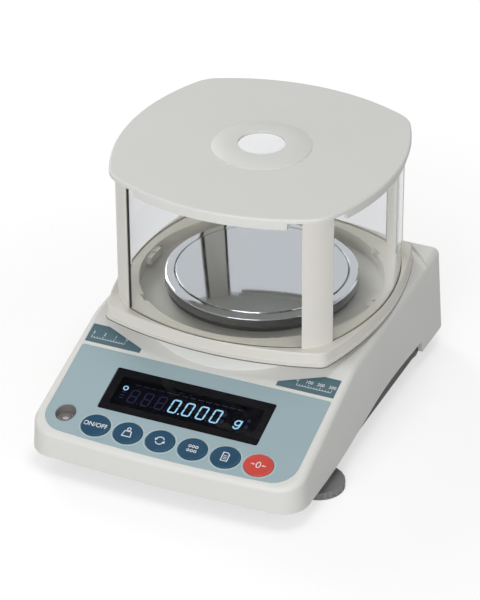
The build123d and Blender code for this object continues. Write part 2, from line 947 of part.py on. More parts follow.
def pan_support():
    """Carrier under the pan: a plate with four windows and a tapered socket."""
    top = pan_z - pan_sheet - cushion_height
    low = top - carrier_thickness
    support = disc(cushion_circle + carrier_margin, low, top, 0, chamber_y)
    support += disc(hub_radius + carrier_sleeve, seat_z - hub_base, top, 0, chamber_y)
    window_circle = (cushion_circle + hub_radius + carrier_sleeve + hub_radius) / 2
    window = disc(carrier_window, low, top, window_circle)
    for turn in range(4):
        support -= in_chamber(turn + 0.5) * window
    return support - hub_taper(hub_gap, seat_z + hub_rise + hub_gap)


def pan_cushions():
    """Four rubber buttons between the carrier and the pan."""
    top = pan_z - pan_sheet
    cushion = disc(cushion_radius, top - cushion_height, top, cushion_circle)
    return [in_chamber(turn) * cushion for turn in range(4)]


def well_collar():
    """Low collar round the hub's hole; it keeps dust and spills out."""
    outer = hub_hole_radius + collar_width
    collar = disc(outer, seat_z, seat_z + collar_height, 0, chamber_y)
    return collar - disc(outer - collar_wall, seat_z, tall, 0, chamber_y)


# Draft shield


def shield_ring():
    """Base ring of the draft shield: bowed outside, round inside, with two lock tabs."""
    step_z = seat_z + ring_lip
    lip = slab(bowed_plan(ring_half, ring_side_radius, ring_corner_radius), seat_z, step_z)
    upper = bowed_plan(ring_half - ring_lip_step, ring_side_radius - ring_lip_step,
                       ring_corner_radius - ring_lip_step)
    body = Pos(0, 0, step_z) * extrude(upper, ring_z - step_z, taper=draft)
    body = fillet(body.edges().group_by(Axis.Z)[-1], ring_edge)
    ring = lip + body - disc(well_radius, 0, tall, 0, chamber_y)
    notch = Pos(well_radius, 0, ring_z - notch_depth) * Box(
        notch_depth, notch_width, notch_width, align=UP)
    for turn in range(4):
        ring -= in_chamber(turn + 0.5) * notch
    tab = block(well_radius - tab_reach, well_radius + tab_root,
                -tab_width / 2, tab_width / 2, seat_z + tab_low, ring_z - tab_drop)
    tab -= disc(tab_hole_radius, seat_z, ring_z, well_radius - tab_reach / 2)
    for turn in (0, 2):
        ring += in_chamber(turn) * tab
    return ring - slab(pane_plan(pane_gap), ring_z - pane_groove, tall)


def pane(turn):
    """One curved pane, from the ring's groove to just under the lid."""
    body = slab(pane_plan(0), ring_z - pane_groove, lid_z - pane_headroom)
    return body & side_zone(turn, post_inner + pane_slot - pane_gap)


def post(turn):
    """Corner post of the shield with a slot for a pane in each edge."""
    profile = band(pane_half + post_proud, bow_radius + post_proud, post_corner_radius,
                   post_thickness)
    body = slab(profile, ring_z, lid_z) & corner_zone(turn, post_inner)
    foot = slab(pane_plan(-pane_gap), ring_z - pane_groove, ring_z)
    body += foot & corner_zone(turn, post_inner + post_foot_inset)
    slots = slab(pane_plan(pane_gap), ring_z, 2 * tall)
    return body - (slots - corner_zone(turn, post_inner + pane_slot))


def lid_boss():
    """Hollow round boss of the lid: a domed flank up to a level crown round the filling hole."""
    foot = lid_z + lid_thickness + boss_step
    crown = lid_z + lid_thickness + boss_height
    rise, run = crown - foot, boss_radius - boss_crown_radius
    flank_radius = (rise**2 + run**2) / (2 * rise)
    flank = RadiusArc((boss_radius, foot), (boss_crown_radius, crown), -flank_radius)
    rest = Polyline((boss_crown_radius, crown), (0, crown), (0, lid_z), (boss_radius, lid_z),
                    (boss_radius, foot))
    boss = Pos(0, chamber_y) * revolve(make_face(Plane.XZ * Curve([flank, rest])), Axis.Z)
    inner = boss_radius - boss_rim
    hollow = turned([(0, lid_z), (inner, lid_z), (inner, foot - boss_wall),
                     (boss_crown_radius, crown - boss_wall), (0, crown - boss_wall)], 0, chamber_y)
    return boss, hollow


def shield_lid():
    """Lid plate with a raised round boss, a filling hole and a broken skirt."""
    top = lid_z + lid_thickness
    plan = bowed_plan(lid_half, bow_radius + lid_half - pane_half, lid_corner_radius)
    lid = slab(plan, lid_z, top)
    lid = fillet(lid.edges().group_by(Axis.Z)[-1], lid_edge)
    boss, hollow = lid_boss()
    lid = lid + boss - hollow - disc(lid_hole_radius, 0, 2 * tall, 0, chamber_y)
    lid = fillet(lid.edges().group_by(Axis.Z)[-1], lid_hole_edge)
    skirt = lid_band(lid_half - lid_overhang, lid_skirt_wall)
    lip = lid_band(pane_half - pane_thickness - lid_lip_gap, lid_lip_wall)
    for turn in range(4):
        zone = side_zone(turn, post_inner - lid_skirt_stop)
        lid += slab(skirt, lid_z - lid_skirt, lid_z) & zone
        lid += slab(lip, lid_z - lid_lip, lid_z) & zone
    return lid


# Force sensor under the chamber


def sensor_frame():
    """Cast frame: a thick plate on the tray with an upright block at the rear."""
    half = sensor_half_width
    front = chamber_y + tower_front
    back = chamber_y + tower_back
    plate = block(-half, half, chamber_y - sensor_front, chamber_y + sensor_back,
                  floor_z, sensor_z)
    tower = block(-half, half, front, back, sensor_z, sensor_top)
    tower -= block(-tower_window / 2, tower_window / 2, front, back,
                   sensor_z + tower_window_low, sensor_top - tower_window_top)
    frame = plate + tower - disc(hook_hole_radius, 0, tall, 0, chamber_y)
    for x, y in sensor_screw_places:
        frame -= disc(screw_radius + screw_gap, 0, tall, x, y)
    return frame


def load_receiver():
    """Block that hangs on the flexures and carries the tapered hub."""
    back = chamber_y + receiver_half
    neck_top = seat_z - hub_neck
    body = block(-sensor_half_width, sensor_half_width, chamber_y - receiver_half, back,
                 receiver_z, sensor_top)
    body -= block(-tower_window / 2, tower_window / 2, chamber_y, back,
                  receiver_z + tower_window_top, sensor_top - tower_window_top)
    body += disc(receiver_neck_radius, sensor_top, neck_top, 0, chamber_y)
    body += disc(hub_radius, neck_top, seat_z - hub_base, 0, chamber_y)
    return body + hub_taper(0, seat_z + hub_rise)


def sensor_flexures():
    """Two upper strips with thinned necks and two plain lower strips."""
    front = chamber_y - receiver_half
    tower = chamber_y + tower_front
    neck_z = sensor_top + flexure_thickness + flexure_neck_lift
    low = receiver_z - flexure_thickness
    strips = []
    for side in (-1, 1):
        outer = side * sensor_half_width
        left, right = sorted((outer, outer - side * flexure_width))
        upper = block(left, right, front, chamber_y + tower_back,
                      sensor_top, sensor_top + flexure_thickness)
        for y in (chamber_y + receiver_half + flexure_neck_inset, tower - flexure_neck_inset):
            upper -= Pos(0, y, neck_z) * Rot(0, 90, 0) * Cylinder(flexure_neck, tall)
        strips.append(upper)
        strips.append(block(left, right, front, tower, low, receiver_z))
    return strips


def sensor_lever():
    """Beam from the load receiver through the tower to the coil."""
    low = sensor_z + lever_lift
    return block(-lever_width / 2, lever_width / 2, chamber_y + lever_start,
                 chamber_y + lever_end, low, low + lever_height)


def sensor_magnet():
    """Pot magnet behind the tower."""
    y = chamber_y + magnet_back
    floor = sensor_z + magnet_floor
    top = sensor_z + magnet_height
    pot = disc(magnet_radius, sensor_z, top, 0, y)
    pot -= disc(magnet_radius - magnet_wall, floor, top, 0, y)
    return pot + disc(magnet_core, floor, top - magnet_core_drop, 0, y)


def sensor_coil():
    """Coil in the magnet's gap, on an arm at the end of the lever."""
    y = chamber_y + magnet_back
    low = sensor_z + coil_lift
    cap_z = low + coil_height - coil_cap
    coil = disc(coil_radius, low, low + coil_height, 0, y) - disc(coil_bore, low, cap_z, 0, y)
    return coil + block(-coil_arm / 2, coil_arm / 2, chamber_y + lever_end, y,
                        cap_z, cap_z + coil_arm_height)


def underhook():
    """Hook under the load receiver for weighing from below."""
    shank = disc(hook_shank_radius, receiver_z - hook_shank, receiver_z, 0, chamber_y)
    eye = Rot(0, 90, 0) * Torus(hook_eye_radius, hook_eye_wire)
    return shank + Pos(0, chamber_y, receiver_z - hook_eye_drop) * eye


def hook_cover():
    """Plate under the tray that swings aside from the hook's hole."""
    low = body_bottom - hook_cover_thickness
    cover = disc(hook_hole_radius + hook_cover_margin, low, body_bottom, 0, chamber_y)
    cover += disc(hook_arm_radius, low, body_bottom, hook_pivot_x, chamber_y)
    cover += block(0, hook_pivot_x, chamber_y - hook_arm_radius, chamber_y + hook_arm_radius,
                   low, body_bottom)
    return cover - disc(screw_radius + foot_gap, 0, tall, hook_pivot_x, chamber_y)


# Electronics


def main_board():
    """Main board beside the sensor, on four pillars of the tray."""
    board = block(main_board_left, main_board_right, main_board_front, main_board_back,
                  main_board_z, board_top_z)
    for x, y in main_screw_places:
        board -= disc(screw_radius + board_screw_gap, 0, tall, x, y)
    return board


def board_parts():
    """Components on the main board: header, chips, relay and capacitors."""
    def chip(x, back, width, depth, height):
        place = Pos(main_board_middle + x, main_board_front + back, board_top_z)
        return place * Box(width, depth, height, align=UP)

    def capacitor(x, back, radius, height):
        return disc(radius, board_top_z, board_top_z + height,
                    main_board_middle + x, main_board_front + back)

    header = chip(0, header_y - main_board_front, header_width, header_depth, header_height)
    small = [capacitor(12, back, 2.4, 6) for back in (22, 30)]
    processor = chip(0, 51, 14, 14, 2)
    converter = chip(0, 72, 10, 8, 1.8)
    large = [capacitor(-10, back, 4, 11) for back in (88, 98, 108)]
    relay = chip(8, 97, 12, 14, 9)
    return [header, *small, processor, converter, *large, relay]


def ribbon_cable():
    """Flat cable from the display board down to the header of the main board."""
    half = ribbon_thickness / 2
    row = display_board_back - ribbon_inset
    solder_side = display_board_top + board_thickness
    start = under_panel(row, solder_side + half)
    below = under_panel(row, solder_side + ribbon_drop)
    end_z = board_top_z + header_height + half
    line = FilletPolyline(start, below, (header_y, end_z + ribbon_rise), (header_y, end_z),
                          radius=ribbon_bend)
    ribbon = Plane.YZ * make_face(offset(line, half, side=Side.BOTH))
    return Pos(main_board_middle, 0, 0) * extrude(ribbon, ribbon_width / 2, both=True)


# Rear sockets


def power_jack():
    """Low-voltage socket with a centre pin, soldered on the main board."""
    face = recess_y + jack_proud
    body = block(jack_x - jack_width / 2, jack_x + jack_width / 2, face - jack_length, face,
                 board_top_z, board_top_z + jack_height)
    mouth = on_rear(jack_x, board_top_z + jack_axis_height, jack_proud - jack_bore_depth)
    body -= mouth * Cylinder(jack_bore_radius, jack_bore_depth, align=UP)
    return body + mouth * Cylinder(jack_pin_radius, jack_bore_depth - 1, align=UP)


def serial_port():
    """Nine-way data socket: flange, shell and pins."""
    body = block(port_x - port_width / 2, port_x + port_width / 2,
                 recess_y - port_length, recess_y,
                 socket_z - port_height / 2, socket_z + port_height / 2)
    flange = on_rear(port_x, socket_z) * Box(
        port_flange_width, port_flange_height, port_flange, align=UP)
    for x in port_screw_places:
        flange -= on_rear(x, socket_z) * Cylinder(port_screw_radius + screw_gap, 2 * wall)
    face = Plane(origin=(port_x, recess_y + port_flange, socket_z),
                 x_dir=(-1, 0, 0), z_dir=(0, 1, 0))

    def shell_form(inset):
        outline = Trapezoid(port_shell_width - 2 * inset, port_shell_height - 2 * inset,
                            port_shell_angle, align=(Align.CENTER, Align.CENTER))
        return extrude(face * outline, port_shell_length)

    pins = []
    for row, count in ((pin_row, 5), (-pin_row, 4)):
        for index in range(count):
            x = (index - (count - 1) / 2) * pin_pitch
            pins.append(face * Pos(x, row, 0) * Cylinder(pin_radius, pin_length, align=UP))
    return joined([body, flange, shell_form(0) - shell_form(port_shell_wall), *pins])


def port_screws():
    """Two hexagonal standoffs that hold the data socket to the rear panel."""
    screws = []
    for x in port_screw_places:
        place = on_rear(x, socket_z, port_flange)
        head = extrude(RegularPolygon(standoff_hexagon, 6), standoff_length)
        head -= Pos(0, 0, 1) * Cylinder(standoff_bore, standoff_length, align=UP)
        shank = Rot(180, 0, 0) * Cylinder(port_screw_radius, standoff_length, align=UP)
        screws.append(place * (head + shank))
    return screws


def earth_terminal():
    """Earth stud with a washer and a hexagonal nut."""
    washer = Cylinder(earth_washer_radius, earth_washer, align=UP)
    nut = Pos(0, 0, earth_washer) * extrude(RegularPolygon(earth_nut_radius, 6), earth_nut)
    inside = wall + earth_head
    stud = Pos(0, 0, -inside) * Cylinder(earth_radius, inside + earth_length, align=UP)
    head = Pos(0, 0, -inside) * Cylinder(earth_head_radius, earth_head, align=UP)
    return on_rear(earth_x, socket_z) * joined([washer, nut, stud, head])


# Feet and screws


def foot_stem(x, y):
    """Threaded foot stud with a collar that stops against the tray."""
    stem = disc(foot_stem_radius, foot_thickness - foot_stem_grip,
                floor_z + foot_stem_rise, x, y)
    return stem + disc(foot_collar_radius, foot_thickness, body_bottom, x, y)


def foot_disc(x, y):
    """Fluted foot disc that is turned by hand to level the balance."""
    foot = disc(foot_radius, 0, foot_thickness)
    foot = fillet(foot.edges().group_by(Axis.Z)[-1], foot_edge)
    flute = disc(flute_radius, flute_low, 2 * foot_thickness, foot_radius + flute_offset)
    for index in range(foot_flutes):
        foot -= Rot(0, 0, index * 360 / foot_flutes) * flute
    foot -= disc(foot_stem_radius + foot_gap, foot_thickness - foot_stem_grip, tall)
    return Pos(x, y) * foot


def down_screw(length):
    """Pan-head screw pointing down from the origin, with a cross slot."""
    head = Cylinder(screw_head_radius, screw_head_height, align=UP)
    head = fillet(head.edges().group_by(Axis.Z)[-1], screw_head_edge)
    slot = Pos(0, 0, screw_head_height - slot_depth) * Box(
        slot_length, slot_width, 2 * slot_depth, align=UP)
    head -= slot
    head -= Rot(0, 0, 90) * slot
    return head + Pos(0, 0, -length) * Cylinder(screw_radius, length, align=UP)


def board_screws():
    """Screws of the main board, the sensor and the display board."""
    under_board = -display_board_top - board_thickness
    main = [Pos(x, y, board_top_z) * down_screw(screw_short) for x, y in main_screw_places]
    sensor = [
        Pos(x, y, sensor_z) * down_screw(sensor_screw_length)
        for x, y in sensor_screw_places
    ]
    display = [
        on_panel(x, s, under_board) * Rot(180, 0, 0) * down_screw(screw_short)
        for x, s in display_screw_places
    ]
    return main + sensor + display


def case_screws():
    """Screws through the tray into the pillars of the housing."""
    head_z = body_bottom + screw_head_height
    return [
        Pos(x, y, head_z) * Rot(180, 0, 0) * down_screw(case_screw_length)
        for x, y in case_screw_places
    ]


def hook_screw():
    """Pivot screw of the hook cover."""
    place = Pos(hook_pivot_x, chamber_y, body_bottom - hook_cover_thickness)
    return place * Rot(180, 0, 0) * down_screw(hook_cover_thickness + floor_thickness)


# All nodes

nodes = {
    "upper_case": [upper_case()],
    "lower_case": [lower_case()],
    "rating_plate": [rating_plate()],
    "fascia_panel": [fascia_panel()],
    "display_window": [display_window()],
    "display_tube": [display_tube()],
    "display_board": [display_board()],
    "key_switches": key_switches(),
    "level_cup": [level_cup()],
    "level_liquid": [level_liquid()],
    "level_lens": [level_glass()],
    "badge_left": [badge(-1)],
    "badge_right": [badge(1)],
    "weighing_pan": [weighing_pan()],
    "pan_support": [pan_support()],
    "pan_cushions": pan_cushions(),
    "well_collar": [well_collar()],
    "shield_ring": [shield_ring()],
    "shield_lid": [shield_lid()],
    "sensor_frame": [sensor_frame()],
    "load_receiver": [load_receiver()],
    "sensor_flexures": sensor_flexures(),
    "sensor_lever": [sensor_lever()],
    "sensor_magnet": [sensor_magnet()],
    "sensor_coil": [sensor_coil()],
    "underhook": [underhook()],
    "hook_cover": [hook_cover()],
    "hook_screw": [hook_screw()],
    "main_board": [main_board()],
    "board_parts": board_parts(),
    "ribbon_cable": [ribbon_cable()],
    "board_screws": board_screws(),
    "case_screws": case_screws(),
    "power_jack": [power_jack()],
    "serial_port": [serial_port()],
    "port_screws": port_screws(),
    "earth_terminal": [earth_terminal()],
}
for name, x in zip(key_names, key_places):
    nodes[f"key_{name}"] = [key_cap(x)]
for turn, name in enumerate(("front", "right", "rear", "left")):
    nodes[f"pane_{name}"] = [pane(turn)]
for turn, name in enumerate(("rear_right", "rear_left", "front_left", "front_right")):
    nodes[f"post_{name}"] = [post(turn)]
for name, (x, y) in foot_places.items():
    nodes[f"foot_stem_{name}"] = [foot_stem(x, y)]
    nodes[f"foot_disc_{name}"] = [foot_disc(x, y)]
for name, solids in nodes.items():
    save(name, solids)
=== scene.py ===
"""Looks of a precision balance with a bowed glass draft shield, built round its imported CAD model.

Everything is in metres, in the frame of the CAD model: +Z up, -Y the front with the keys, +X the
user's right, origin on the bench.
"""

import math

import bpy
import numpy as np
from mathutils import Matrix, Vector
from mathutils.geometry import convex_hull_2d


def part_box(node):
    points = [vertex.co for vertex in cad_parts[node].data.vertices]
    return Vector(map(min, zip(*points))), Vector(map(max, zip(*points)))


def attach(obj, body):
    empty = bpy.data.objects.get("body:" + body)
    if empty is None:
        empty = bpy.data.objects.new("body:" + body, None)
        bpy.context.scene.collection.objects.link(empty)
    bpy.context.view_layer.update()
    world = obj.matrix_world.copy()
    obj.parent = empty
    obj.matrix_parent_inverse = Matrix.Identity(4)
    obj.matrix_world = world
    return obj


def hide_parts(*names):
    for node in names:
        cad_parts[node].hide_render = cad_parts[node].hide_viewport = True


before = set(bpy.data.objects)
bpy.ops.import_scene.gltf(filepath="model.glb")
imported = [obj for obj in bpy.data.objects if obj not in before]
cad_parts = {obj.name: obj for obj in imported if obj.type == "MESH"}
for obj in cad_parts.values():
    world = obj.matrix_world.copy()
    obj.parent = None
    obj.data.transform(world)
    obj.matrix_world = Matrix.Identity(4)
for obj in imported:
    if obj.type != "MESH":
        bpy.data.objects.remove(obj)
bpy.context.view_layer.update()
MM = 0.001

# Places read from the frame

least_cosine = 0.9999        # of the angle between two triangles of one flat face
plane_play = 0.05 * MM       # between two triangles of one flat face, along their normal


def middle(node):
    """Centre of a CAD node's box."""
    low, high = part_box(node)
    return (low + high) / 2


def half_size(node):
    """Half the width, depth and height of a CAD node's box."""
    low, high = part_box(node)
    return [(end - start) / 2 for start, end in zip(low, high)]


def flat_face(node):
    """Normal and centre of the largest flat face of a CAD node that looks upwards.

    The faces are triangles, so those with the normal of the largest one are taken together.
    """
    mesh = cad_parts[node].data
    mesh.calc_loop_triangles()
    count = len(mesh.loop_triangles)
    normals = np.array([t.normal for t in mesh.loop_triangles]).reshape(count, 3)
    areas = np.array([t.area for t in mesh.loop_triangles])
    centres = np.array([t.center for t in mesh.loop_triangles]).reshape(count, 3)
    best = np.argmax(np.where(normals[:, 2] > 0, areas, 0))
    same = (normals @ normals[best] > least_cosine) & (
        np.abs((centres - centres[best]) @ normals[best]) < plane_play
    )
    centre = (centres[same] * areas[same, None]).sum(0) / areas[same].sum()
    return normals[best], centre


class Panel:
    """Coordinates on the sloping panel: x across, s up the slope, lift along the normal."""

    def __init__(self):
        self.normal, self.origin = flat_face("display_window")
        self.across = np.array([1.0, 0.0, 0.0])
        self.up = np.cross(self.normal, self.across)

    def point(self, points, lift=0.0):
        """Frame points of an array of x, s pairs, or of x, s, lift triples."""
        points = np.atleast_2d(np.asarray(points, float))
        if points.shape[1] == 2:
            points = np.column_stack([points, np.zeros(len(points))])
        return (self.origin + points[:, :1] * self.across + points[:, 1:2] * self.up
                + (points[:, 2:] + lift) * self.normal)

    def where(self, point):
        """The x, s pair of a frame point."""
        offset = np.asarray(point, float) - self.origin
        return np.array([offset @ self.across, offset @ self.up])

    def lift(self, node):
        """How far the largest upper face of a CAD node lies over the panel."""
        return float((flat_face(node)[1] - self.origin) @ self.normal)


panel = Panel()

# Sizes that several pieces and materials share

pan_axis = middle("weighing_pan").xy
pan_low, pan_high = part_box("weighing_pan")
pan_radius = half_size("weighing_pan")[0]
face_radius = pan_radius - 7.5 * MM
groove_radius = face_radius + 0.6 * MM
skirt_top = pan_high.z - 1.6 * MM
pane_sheet = 2.0 * MM
shadow_line_height = 0.4 * MM        # of the dark line of painted shadow under the base ring
ink = 0.05 * MM              # thickness of a print
sides = {"front": (1, 0), "right": (0, 1), "rear": (-1, 0), "left": (0, -1)}  # along each pane

# Camera of the photograph

view_distance = 2.0
view_azimuth = 0.423         # radians from the front towards the right
view_elevation = 0.542       # radians over the horizon
view_roll = -0.006           # radians
focal_pixels = 2987.67       # focal length in pixels of the photograph
photo_height = 600           # pixels
sensor_side = 36.0           # millimetres
aim = Vector((-0.01025, 0.02184, 0.064))
nearest, farthest = 0.05, 50.0


def make_camera():
    """Camera at the photograph's viewing angle, from azimuth, elevation and roll in radians."""
    back = Vector((
        math.sin(view_azimuth) * math.cos(view_elevation),
        -math.cos(view_azimuth) * math.cos(view_elevation),
        math.sin(view_elevation),
    ))
    data = bpy.data.cameras.new("camera")
    data.sensor_width = sensor_side
    data.lens = focal_pixels * sensor_side / photo_height
    data.clip_start, data.clip_end = nearest, farthest
    camera = bpy.data.objects.new("camera", data)
    bpy.context.scene.collection.objects.link(camera)
    turn = (-back).to_track_quat("-Z", "Y").to_matrix().to_4x4()
    camera.matrix_world = (
        Matrix.Translation(aim + back * view_distance) @ turn @ Matrix.Rotation(view_roll, 4, "Z")
    )
    bpy.context.scene.camera = camera
    return camera


camera = make_camera()

# Meshes


def grid_faces(rows, columns, wrap_rows=False, wrap_columns=True):
    """Four-sided faces of a grid of points that are numbered row by row."""
    i = np.arange(rows if wrap_rows else rows - 1)[:, None]
    j = np.arange(columns if wrap_columns else columns - 1)[None, :]
    here, right = i * columns + j, i * columns + (j + 1) % columns
    below = (i + 1) % rows * columns
    return np.stack([here, right, below + (j + 1) % columns, below + j], -1).reshape(-1, 4)


on_axis = 1e-9               # a radius below this counts as zero


def round_spread(radius, angle):
    """x and y of a point at a radius and an angle."""
    return radius * np.cos(angle), radius * np.sin(angle)


def lathe(profile, steps=96, spread=round_spread):
    """Turned shape: each profile point runs once round the Z axis at its own height.

    The profile's first number goes through spread, which gives x and y for every angle. A profile
    that starts or ends on the axis gets one point there, with a fan of triangles.
    """
    profile = np.asarray(profile, float)
    angle = np.arange(steps) * 2 * np.pi / steps
    x, y = spread(profile[:, :1], angle)
    grid = np.stack([x, y, np.repeat(profile[:, 1:], steps, 1)], -1)
    first, last = (np.abs(grid[end, :, :2]).max() < on_axis for end in (0, -1))
    rings = grid[1 if first else 0:-1 if last else None]
    points = rings.reshape(-1, 3)
    faces = grid_faces(len(rings), steps, wrap_rows=not (first or last)).tolist()
    here = np.arange(steps)
    following = (here + 1) % steps
    if first:
        pole = np.full(steps, len(points))
        points = np.vstack([points, grid[0, 0]])
        faces += np.stack([pole, following, here], 1).tolist()
    if last:
        pole = np.full(steps, len(points))
        points = np.vstack([points, grid[-1, 0]])
        outer = (len(rings) - 1) * steps
        faces += np.stack([pole, outer + here, outer + following], 1).tolist()
    return points, faces


def rounded(corners, steps):
    """Profile through corners, each given with the radius of its rounding, which may be zero.

    The arc touches both runs at r * tan(half the turn) from the corner, and its points are the
    arc's centre plus r times directions that go in steps from the first to the last one.
    """
    corners = np.asarray(corners, float)
    corners, radii = corners[:, :2], corners[:, 2]
    points = []
    for index, (corner, radius) in enumerate(zip(corners, radii)):
        if radius == 0:
            points.append(corner)
            continue
        before = corners[index - 1] - corner
        after = corners[(index + 1) % len(corners)] - corner
        before, after = before / np.linalg.norm(before), after / np.linalg.norm(after)
        half = math.acos(float(np.clip(before @ after, -1, 1))) / 2
        bisector = (before + after) / np.linalg.norm(before + after)
        centre = corner + bisector * radius / math.sin(half)
        start = corner + before * radius / math.tan(half) - centre
        end = corner + after * radius / math.tan(half) - centre
        share = np.linspace(0, 1, steps + 1)[:, None]
        mixed = start * (1 - share) + end * share
        points.extend(centre + radius * mixed / np.linalg.norm(mixed, axis=1, keepdims=True))
    return np.array(points)


def prism(outline, low, high):
    """Flat shape with a thickness: a closed outline in the plane, between two heights."""
    outline = np.asarray(outline, float)
    count = len(outline)
    points = np.vstack([
        np.column_stack([outline, np.full(count, low)]),
        np.column_stack([outline, np.full(count, high)]),
    ])
    faces = grid_faces(2, count).tolist()
    faces += [list(range(count))[::-1], list(range(count, 2 * count))]
    return points, faces


def ribbon(path, width, low, high, closed=False):
    """Flat line of even width along a path in the plane, between two heights.

    Each path point is moved to both sides along the mean of its neighbouring runs' normals,
    lengthened by one over the cosine of half the turn.
    """
    path = np.asarray(path, float)
    runs = np.roll(path, -1, 0) - path
    if not closed:
        runs[-1] = runs[-2]
    runs /= np.linalg.norm(runs, axis=1, keepdims=True)
    normals = np.column_stack([-runs[:, 1], runs[:, 0]])
    previous = np.roll(normals, 1, 0)
    if not closed:
        previous[0] = normals[0]
    mean = normals + previous
    mean /= np.linalg.norm(mean, axis=1, keepdims=True)
    side = mean * (width / 2 / np.sum(mean * normals, axis=1, keepdims=True))
    left, right = path + side, path - side
    count = len(path)
    section = [(left, low), (right, low), (right, high), (left, high)]
    points = np.stack([np.column_stack([edge, np.full(count, z)]) for edge, z in section], 1)
    points = points.reshape(-1, 3)
    faces = grid_faces(count, 4, wrap_rows=closed).tolist()
    if not closed:
        faces += [[0, 1, 2, 3], [4 * count - 1, 4 * count - 2, 4 * count - 3, 4 * count - 4]]
    return points, faces


def pen(width, low, high):
    """Function that draws flat lines between two heights, of this width unless told otherwise."""

    def line(path, line_width=width, closed=False):
        return ribbon(path, line_width, low, high, closed)

    return line


def circle(x, y, radius, steps, start=0.0, end=360.0):
    """Points of a circle or, between two angles in degrees, of an arc."""
    whole = abs(end - start) >= 360
    angle = np.radians(np.linspace(start, end, steps, endpoint=not whole))
    return np.column_stack([x + radius * np.cos(angle), y + radius * np.sin(angle)])


def piece(name, shapes, material, body, slot, crease=35.0, place=None):
    """Mesh object from one or more closed shapes, faces outwards, riding on a CAD body.

    Place is a function that takes an array of the shapes' points to where they belong. A closed
    shape's signed volume is the sum of the corner products of its triangle fans; where it is
    negative the shape is turned inside out.
    """
    all_points, all_faces, total = [], [], 0
    for points, faces in shapes:
        points = place(points) if place else points
        volume = 0.0
        for size in {len(face) for face in faces}:
            corners = points[np.array([face for face in faces if len(face) == size])]
            for k in range(1, size - 1):
                volume += np.sum(corners[:, 0] * np.cross(corners[:, k], corners[:, k + 1]))
        order = 1 if volume > 0 else -1
        all_faces += [[total + v for v in face][::order] for face in faces]
        all_points.append(points)
        total += len(points)
    mesh = bpy.data.meshes.new(name)
    mesh.from_pydata(np.vstack(all_points).tolist(), [], all_faces)
    mesh.validate()
    mesh.shade_smooth()
    mesh.set_sharp_from_angle(angle=math.radians(crease))
    mesh.materials.append(material)
    made = bpy.data.objects.new(name, mesh)
    bpy.context.scene.collection.objects.link(made)
    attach(made, body)
    return made


# Building blocks of the materials


def add(tree, kind, inputs=None, **settings):
    """One shader node: settings are its properties, inputs its values or what feeds them."""
    made = tree.nodes.new(kind)
    for key, value in settings.items():
        setattr(made, key, value)
    for key, value in (inputs or {}).items():
        if isinstance(value, bpy.types.NodeSocket):
            tree.links.new(value, made.inputs[key])
        else:
            made.inputs[key].default_value = value
    return made


def place_on(tree):
    """Object coordinates, which are places on the balance."""
    return add(tree, "ShaderNodeTexCoord").outputs["Object"]


def maths(tree, operation, *values):
    """Result of an operation on one or two numbers."""
    return add(tree, "ShaderNodeMath", dict(enumerate(values)), operation=operation).outputs[0]


def ramp(tree, value, start, end, first, last):
    """Number that goes from first to last while value goes from start to end."""
    made = add(tree, "ShaderNodeMapRange", {
        "Value": value, "From Min": start, "From Max": end, "To Min": first, "To Max": last})
    return made.outputs["Result"]


def new_group(name, inputs, outputs):
    """Shader node group with named float inputs and outputs of given kinds."""
    tree = bpy.data.node_groups.new(name, "ShaderNodeTree")
    for key, value in inputs.items():
        socket = tree.interface.new_socket(key, in_out="INPUT", socket_type="NodeSocketFloat")
        socket.default_value = value
    for key, kind in outputs.items():
        tree.interface.new_socket(key, in_out="OUTPUT", socket_type=kind)
    return tree, tree.nodes.new("NodeGroupInput").outputs, tree.nodes.new("NodeGroupOutput").inputs


def moulded_grain():
    """Fine moulded texture with a slow change of tone, as on injection-moulded housings."""
    tree, given, put = new_group(
        "moulded_grain", {"Scale": 1800.0, "Depth": 0.03},
        {"Tone": "NodeSocketFloat", "Normal": "NodeSocketVector"})
    place = place_on(tree)
    fine = add(tree, "ShaderNodeTexNoise",
               {"Vector": place, "Scale": given["Scale"], "Detail": 3.0})
    slow = add(tree, "ShaderNodeTexNoise", {"Vector": place, "Scale": 22.0, "Detail": 2.0})
    bump = add(tree, "ShaderNodeBump",
               {"Strength": given["Depth"], "Distance": 0.0002, "Height": fine.outputs["Fac"]})
    tree.links.new(slow.outputs["Fac"], put["Tone"])
    tree.links.new(bump.outputs["Normal"], put["Normal"])
    return tree


usual_noise = (0.3, 0.7)


def handled_gloss():
    """Roughness that changes in soft patches, as on surfaces that hands and cloths have touched.

    The noise's usual range is stretched over the two roughnesses.
    """
    tree, given, put = new_group(
        "handled_gloss", {"Scale": 30.0, "Smooth": 0.1, "Dull": 0.2},
        {"Roughness": "NodeSocketFloat"})
    place = place_on(tree)
    patches = add(tree, "ShaderNodeTexNoise",
                  {"Vector": place, "Scale": given["Scale"], "Detail": 4.0, "Roughness": 0.6})
    spread = ramp(tree, patches.outputs["Fac"], *usual_noise, given["Smooth"], given["Dull"])
    tree.links.new(spread, put["Roughness"])
    return tree


